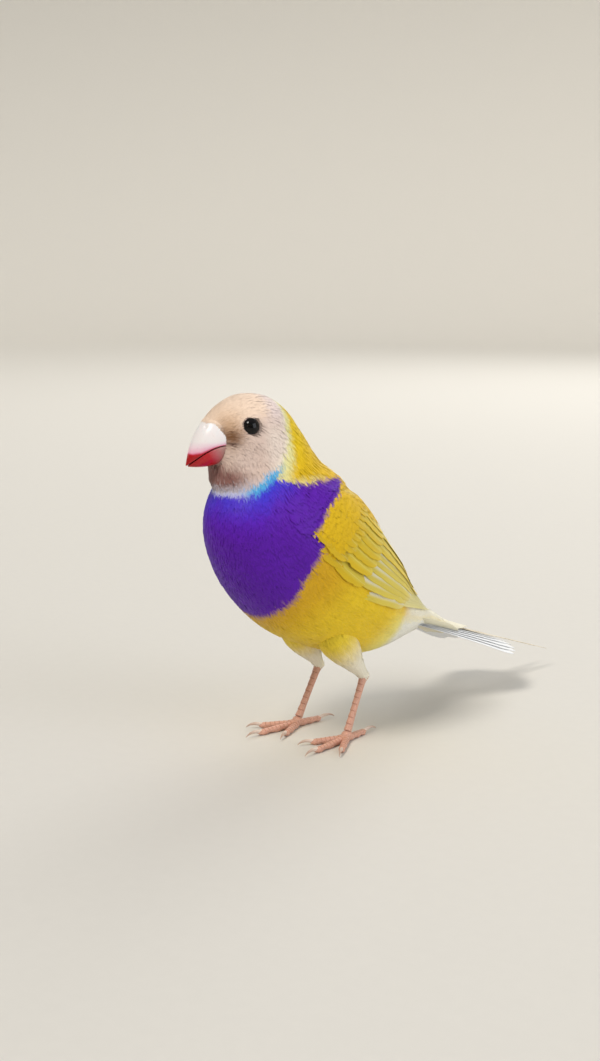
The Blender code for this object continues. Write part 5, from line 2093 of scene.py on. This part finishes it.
@dataclass
class Tail:
    """The fanned tail with its two pins, and the coverts over and under its root."""

    blade: Template
    drop: float = math.radians(17)
    fan: float = math.radians(15)
    root_ahead: float = -27.0
    root_up: float = 26.0
    step: float = 0.24
    root_spread: float = 0.35
    root_gap: float = 0.5
    tilt: float = -0.03
    sag: float = 0.8
    arch: float = 0.013
    pin_turn: float = math.radians(1.4)
    covert_count: int = 9
    covert_half_width: float = 2.6
    vane_code: str = "f1f3f5"
    pin_code: str = "f6ead0"
    upper_covert_code: str = "efe9d2"
    lower_covert_code: str = "f3ecd0"
    pairs: tuple[TailPair, ...] = (
        TailPair(67.0, 2.6, PIN_TIP), TailPair(45.5, 3.0, POINTED_TIP), TailPair(44.5, 3.2, POINTED_TIP),
        TailPair(43.0, 3.3, ROUND_TIP), TailPair(41.0, 3.3, ROUND_TIP), TailPair(38.5, 3.2, ROUND_TIP),
    )

    def frame_of(self, turn: float) -> tuple[Array, Array]:
        """How a feather lies.

        Args:
            turn: Its angle from the middle of the tail.

        Returns:
            The way that it runs, and the way out of its face.
        """
        flat = math.cos(turn)
        run = np.array((math.sin(turn), flat * math.cos(self.drop), -flat * math.sin(self.drop)))
        return run, np.array((0.0, math.sin(self.drop), math.cos(self.drop)))

    def plume(self, index: int, sign: int) -> Plume:
        """One of the twelve tail feathers.

        Args:
            index: Its pair, counted from the middle.
            sign: 1 on the bird's left, -1 on its right.

        Returns:
            The feather.
        """
        pair = self.pairs[index]
        turn = self.pin_turn * sign if index == 0 else self.fan * index / (len(self.pairs) - 1) * sign
        run, out = self.frame_of(turn)
        across = unit(np.cross(run, out)) * sign
        root = np.array((sign * (self.root_gap + self.root_spread * index), -self.root_ahead, self.root_up))
        root = root - out * (self.step * index)
        s = np.linspace(0, 1, BLADE_ROWS)
        centre = root + run * (pair.length * s)[:, None]
        aside = np.abs(centre[:, 0])
        centre = centre - out * (self.sag * s * s + self.arch * aside**2)[:, None]
        turned = np.arctan(2 * self.arch * aside)[:, None]
        lean, stand = np.sin(turned), np.cos(turned)
        own = linear(self.vane_code if index else self.pin_code)
        return Plume(
            centre=centre, across=across * stand - out * lean, out=out * stand + across * lean,
            half_width=np.interp(s, *zip(*pair.outline)) * pair.half_width, length=pair.length,
            tilt=self.tilt, cup=0.0, outer_web=0.8, outer_colour=own * 0.97, inner_colour=own,
            shade=0.5 + 0.1 * sign, seed=2000 + 10 * index + sign, thickness=0.1,
        )

    def covert(self, number: int, upper: bool) -> Plume:
        """One covert over or under the tail's root.

        Args:
            number: Its place in the row.
            upper: Whether it lies over the tail.

        Returns:
            The feather.
        """
        rng = np.random.default_rng(3000 + number + 50 * upper)
        place = 2 * number / (self.covert_count - 1) - 1
        height = (0.9 - 1.15 * place**2) if upper else -(1.6 - 0.3 * abs(place))
        length = (29.0 - 9.0 * abs(place)) if upper else (27.0 - 8.0 * abs(place))
        run, out = self.frame_of(math.radians(8.0 * place + rng.normal(0, 1)))
        across = unit(np.cross(run, out))
        root = np.array((2.2 * place, -self.root_ahead + 1.0, self.root_up)) + out * height
        s = np.linspace(0, 1, BLADE_ROWS)
        closing = (-0.45 * (1 - place**2) if upper else 0.1 * abs(height)) * s * s
        centre = root + run * (length * s)[:, None] + out * closing[:, None]
        own = linear(self.upper_covert_code if upper else self.lower_covert_code)
        roll = place * math.radians(52.0 if upper else -28.0)
        lean, stand = math.sin(roll), math.cos(roll)
        across, out = across * stand - out * lean, out * stand + across * lean
        return Plume(
            centre=centre, across=np.broadcast_to(across, centre.shape),
            out=np.broadcast_to(out, centre.shape),
            half_width=np.interp(s, *zip(*POINTED_TIP)) * self.covert_half_width * rng.uniform(0.9, 1.1),
            length=length, tilt=0.0, cup=0.13 if upper else -0.05, outer_web=1.0, outer_colour=own,
            inner_colour=own, shade=rng.uniform(0.2, 0.8), seed=3100 + number + 50 * upper,
        )

    def build(self) -> None:
        """Builds the twelve feathers and the coverts as two pieces."""
        feathers = [self.plume(index, sign) for index in range(len(self.pairs)) for sign in (1, -1)]
        vanes = plumes_object("tail_feathers", feathers, self.blade, False)
        settle(vanes, TAIL_FINISH, Slot.TAIL, "tail")
        coverts = [self.covert(k, upper) for upper in (True, False) for k in range(self.covert_count)]
        settle(plumes_object("tail_coverts", coverts, self.blade, False), TAIL_FINISH, Slot.TAIL)


@dataclass
class Bill:
    """The stout bill: two halves of horn and the dark line between them, a roll coloured as painted shade."""

    around: int = 64
    lengthwise: int = 90
    arch_share: float = 0.78
    edge_bevel: float = 0.06
    edge_hollow: float = 0.25
    nostril_side: float = 2.1
    nostril_reach: float = 2.8
    nostril_rise: float = 6.7
    nostril_radius: float = 0.6

    def section(self, half: BillShape, u: Array, v: Array) -> tuple[Array, ...]:
        """One half's surface, its outer arch first and its flat next to the mouth last.

        Args:
            half: The half.
            u: Shares round it.
            v: Shares along it.

        Returns:
            Shares of the length, places to the side and rises.
        """
        share = BILL_ROOT + (1 - BILL_ROOT) * v
        turn = np.clip(u / self.arch_share, 0, 1) * math.pi
        level = np.clip((u - self.arch_share) / (1 - self.arch_share), 0, 1)
        side = np.where(u <= self.arch_share, np.cos(turn), -1 + 2 * level) * half.width(share)
        base, edge = half.base(share), half.edge(share)
        hollow = math.copysign(self.edge_hollow, half.height) * np.sin(level * math.pi)
        hollow = hollow * (1 - np.clip(share, 0, 1))
        arch = base + (edge - base) * np.sin(turn) ** ARCH_POWER
        rise = np.where(u <= self.arch_share, arch, base + hollow)
        return share, side, rise

    def nostrils(self, half: BillShape, share: Array, side: Array, rise: Array) -> Array:
        """The two nostrils, as two dents beside the culmen.

        Args:
            half: The half that they lie in.
            share: Its points as shares of the length.
            side: Their places to the side.
            rise: Their rises.

        Returns:
            How far each point moves, in millimetres.
        """
        reach = share * half.length - self.nostril_reach
        push = half.placed(share, side * 0.8, rise - 0.4) - half.placed(share, side, rise)
        depth = np.zeros(len(share))
        for sign in (1, -1):
            far = np.sqrt((side - sign * self.nostril_side) ** 2 + (rise - self.nostril_rise) ** 2 + reach**2)
            depth = depth + np.exp(-((far / self.nostril_radius) ** 4))
        return push * depth[:, None]

    def half(self, name: str, half: BillShape, blush: Field) -> Piece:
        """One half of the bill with rounded edges.

        Args:
            name: The piece's name.
            half: Which half.
            blush: Gives the number that its colours run over.

        Returns:
            The half.
        """

        def shape(u: Array, v: Array) -> Array:
            """Points of the half, the upper one with nostrils."""
            share, side, rise = self.section(half, u, v)
            points = half.placed(share, side, rise)
            return points + self.nostrils(half, share, side, rise) if half.height > 0 else points

        obj = rolled(name, shape, self.around, self.lengthwise, Blush=blush)
        edges = {"limit_method": "ANGLE", "angle_limit": math.radians(50)}
        apply_modifier(obj, "BEVEL", width=self.edge_bevel, segments=2, **edges)
        return obj

    def upper_blush(self, u: Array, v: Array) -> Array:
        """From 0 in the red tip and cutting edge to 1 in the white base and top, partly a painted highlight.
        """
        share, _, rise = self.section(UPPER, u, v)
        reach = np.clip(share, 0, 1) * UPPER.length
        over = rise - UPPER.mouth(share)
        red = np.interp(reach, (0, 5, 6.5, 8.1, 9.4, 10.3), (0.15, 0.3, 0.5, 1.3, 2.5, 4.5))
        soft = 1.0 + 2.0 * eased(reach, 2.0, 7.5)
        return np.clip(0.2 + 0.8 * (over - red) / soft, 0, 1)

    def lower_blush(self, u: Array, v: Array) -> Array:
        """From 0 in the rosy base of the lower half to 1 at its red tip."""
        share, _, rise = self.section(LOWER, u, v)
        return np.clip(share - 0.015 * (rise - LOWER.mouth(share)), 0, 1)

    @staticmethod
    def lining(u: Array, v: Array) -> Array:
        """Points of the mouth's lining, a flat roll between the halves, dark as painted shade."""
        share = -0.08 + 1.04 * v
        turn = TURN * u
        side = np.cos(turn) * (UPPER.width(share) - 0.22)
        return LOWER.placed(share, side, UPPER.mouth(share) + 0.12 * np.sin(turn))

    def build(self) -> None:
        """Builds the halves and the lining of the mouth."""
        upper = self.half("upper_bill", UPPER, self.upper_blush)
        settle(upper, UPPER_FINISH, Slot.UPPER_BILL, "bill_upper")
        lower = self.half("lower_bill", LOWER, self.lower_blush)
        settle(lower, LOWER_FINISH, Slot.LOWER_BILL, "bill_lower")
        settle(rolled("mouth_lining", self.lining, 24, 40), MOUTH_SHADE_FINISH, Slot.LOWER_BILL)


@dataclass
class Eye:
    """An eyeball with its ring of lids."""

    side: Side
    spread: tuple[float, float, float] = (2.06, 2.16, 1.76)
    pupil_span: float = math.radians(62)
    opening: float = 2.02
    lid_height: float = 0.62
    lid_radius: float = 0.2
    beads: int = 26
    bead_swell: float = 0.16
    lid_flatness: tuple[float, float, float] = (1.0, 1.0, 0.85)

    def place(self, obj: Piece, name: str, points: Array, height: float) -> Piece:
        """Turns a piece that looks up Z to the way that the eye looks.

        Args:
            obj: The piece.
            name: Its name without the side.
            points: Its vertices round the eyeball's middle.
            height: How far outwards it moves.

        Returns:
            The piece.
        """
        centre, out = TRUNK.eye_axis(self.side, EYE_SUNK)
        turn = np.array(Vector(out).to_track_quat("Z", "Y").to_matrix())
        obj.name = obj.data.name = f"{name}_{self.side.word}"
        set_points(obj, points @ turn.T + (centre + out * height))
        bpy.ops.object.shade_smooth()
        return obj

    def ball(self) -> Piece:
        """The eyeball, a little more curved at the cornea."""
        select_only()
        bpy.ops.mesh.primitive_uv_sphere_add(segments=64, ring_count=40, radius=EYE_RADIUS)
        obj = bpy.context.object
        points = points_of(obj)
        ring = np.arccos(np.clip(points[:, 2] / EYE_RADIUS, -1, 1)) / self.pupil_span
        store(obj, Pupil=np.clip(ring, 0, 1))
        return self.place(obj, "eyeball", points / EYE_RADIUS * self.spread, 0.0)

    def lids(self) -> Piece:
        """The ring of bare lids, beaded as the real ones are."""
        select_only()
        bpy.ops.mesh.primitive_torus_add(
            major_segments=self.beads * 8, minor_segments=16, major_radius=EYE_RADIUS,
            minor_radius=self.lid_radius,
        )
        obj = bpy.context.object
        points = points_of(obj)
        angle = np.arctan2(points[:, 1], points[:, 0])
        core = np.stack([np.cos(angle), np.sin(angle), np.zeros(len(angle))], axis=1) * EYE_RADIUS
        swell = 1 + self.bead_swell * np.cos(self.beads * angle)
        rim = (points - core) * swell[:, None] * self.lid_flatness
        local = core * self.opening / EYE_RADIUS + rim
        local[:, 0] *= self.spread[0] / self.spread[1]
        return self.place(obj, "lids", local, self.lid_height)

    def build(self) -> None:
        """Builds the eyeball and the lids."""
        settle(self.ball(), EyeFinish(), Slot.EYE, f"eye_{self.side.word}")
        settle(self.lids(), LID_FINISH, Slot.CREAM)


@dataclass
class Studio:
    """The floor, the lights and the camera."""

    image_width: float = 600.0
    image_height: float = 1061.0
    eye_pixel: tuple[float, float] = (250.7, 426.6)
    azimuth: float = math.radians(45)
    elevation: float = math.radians(10)
    lens: float = 50.0
    sensor: float = 36.0
    nearest: float = 0.01
    eye_distance: float = 0.335
    middle_height: float = 0.05
    floor_radius: float = 2.0
    cove: float = 0.8
    cove_turns: int = 12
    wall_height: float = 1.5
    inset: float = 0.9
    world_code: str = "f2f3f5"
    world_strength: float = 0.5

    def axes(self) -> tuple[Vector, Vector, Vector]:
        """The camera's right, up and backward directions."""
        level = math.cos(self.elevation)
        back = Vector(
            (math.sin(self.azimuth) * level, -math.cos(self.azimuth) * level, math.sin(self.elevation))
        )
        right = Vector((0, 0, 1)).cross(back).normalized()
        return right, back.cross(right), back

    def camera(self) -> None:
        """Sets the camera so that the left eye falls on its place in the picture."""
        right, up, back = self.axes()
        low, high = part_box("eye_left")
        eye = (low + high) / 2
        focal = self.lens / self.sensor * self.image_height
        aside = (self.eye_pixel[0] - self.image_width / 2) / focal * self.eye_distance
        above = (self.image_height / 2 - self.eye_pixel[1]) / focal * self.eye_distance
        data = bpy.data.cameras.new("camera")
        data.lens, data.sensor_width = self.lens, self.sensor
        data.clip_start = self.nearest
        camera = bpy.data.objects.new("camera", data)
        bpy.context.scene.collection.objects.link(camera)
        pose = Matrix((right, up, back)).transposed().to_4x4()
        pose.translation = eye - right * aside - up * above + back * self.eye_distance
        camera.matrix_world = pose
        bpy.context.scene.camera = camera

    def light(self, name: str, kind: str, way: Vector, power: float, code: str, **spread: float) -> None:
        """Adds a light that shines on the bird.

        Args:
            name: Its name.
            kind: AREA for a soft square lamp, or SUN for an even light from far away.
            way: The direction from the bird to the light, as long as a lamp's distance in metres.
            power: A lamp's watts, or a sun's watts per square metre.
            code: Its colour.
            spread: A lamp's side in metres as size, or the angle that a sun fills as angle.
        """
        data = bpy.data.lights.new(name, kind)
        data.energy, data.color = power, rgba(code)[:3]
        for key, value in spread.items():
            setattr(data, key, value)
        light = bpy.data.objects.new(name, data)
        bpy.context.scene.collection.objects.link(light)
        place = Matrix.Translation(Vector((0, 0, self.middle_height)) + way)
        light.matrix_world = place @ way.to_track_quat("Z", "Y").to_matrix().to_4x4()

    def backdrop(self) -> None:
        """A floor that turns up into a wall all round, so that no edge of it shows."""
        select_only()
        bpy.ops.mesh.primitive_circle_add(vertices=128, radius=self.floor_radius, fill_type="NGON")
        floor = bpy.context.object
        floor.name = floor.data.name = "floor"
        with editing():
            bpy.ops.mesh.inset(thickness=self.floor_radius * self.inset, depth=0)
            bpy.ops.mesh.select_all(action="DESELECT")
        reach = np.hypot(*points_of(floor)[:, :2].T)
        for edge in floor.data.edges:
            edge.select = bool(reach[list(edge.vertices)].min() > self.floor_radius * 0.99)
        with editing(whole=False):
            bpy.ops.mesh.select_mode(type="EDGE")
            step = math.pi / 2 * self.cove / self.cove_turns
            for k in range(self.cove_turns):
                slope = math.pi / 2 * (k + 0.5) / self.cove_turns
                rise = (0, 0, step * math.sin(slope))
                bpy.ops.mesh.extrude_region_move(TRANSFORM_OT_translate={"value": rise})
                reach = self.floor_radius + self.cove * math.sin(math.pi / 2 * k / self.cove_turns)
                scale = 1 + step * math.cos(slope) / reach
                bpy.ops.transform.resize(value=(scale, scale, 1), center_override=(0, 0, 0))
            bpy.ops.mesh.extrude_region_move(TRANSFORM_OT_translate={"value": (0, 0, self.wall_height)})
            bpy.ops.mesh.select_all(action="SELECT")
            bpy.ops.mesh.normals_make_consistent(inside=True)
        floor.data.shade_smooth()
        floor.data.materials.append(FloorFinish().material())

    def build(self) -> None:
        """Builds the whole studio."""
        right, up, back = self.axes()
        self.backdrop()
        wide = math.radians(18)
        self.light("key", "SUN", right * -0.55 + up * 1.0 + back * 0.85, 1.68, "fffaf2", angle=wide)
        self.light("fill", "AREA", right * 1.2 + up * 0.35 + back * 0.9, 9.0, "f1f5ff", size=1.1)
        self.light("rim", "AREA", right * 0.5 + up * 1.0 - back * 1.0, 6.0, "ffffff", size=0.8)
        world = bpy.data.worlds.new("studio")
        world.use_nodes = True
        sky = world.node_tree.nodes["Background"]
        feed(world.node_tree, sky, {"Color": rgba(self.world_code), "Strength": self.world_strength})
        scene = bpy.context.scene
        scene.world = world
        scene.view_settings.view_transform = "Standard"
        self.camera()


def main() -> None:
    """Builds the studio, then the bird from its skin outwards."""
    logging.basicConfig(level=logging.INFO, format="%(message)s")
    Studio().build()
    legs = [Leg(side) for side in Side]
    Skin(legs).build()
    coat = Coat()
    coat.build()
    blade = Blade().model()
    for side in Side:
        Wing(side, blade).build()
    Tail(blade).build()
    for leg in legs:
        leg.build(coat.fine)
    Bill().build()
    for side in Side:
        Eye(side).build()


if __name__ == "__main__":
    main()
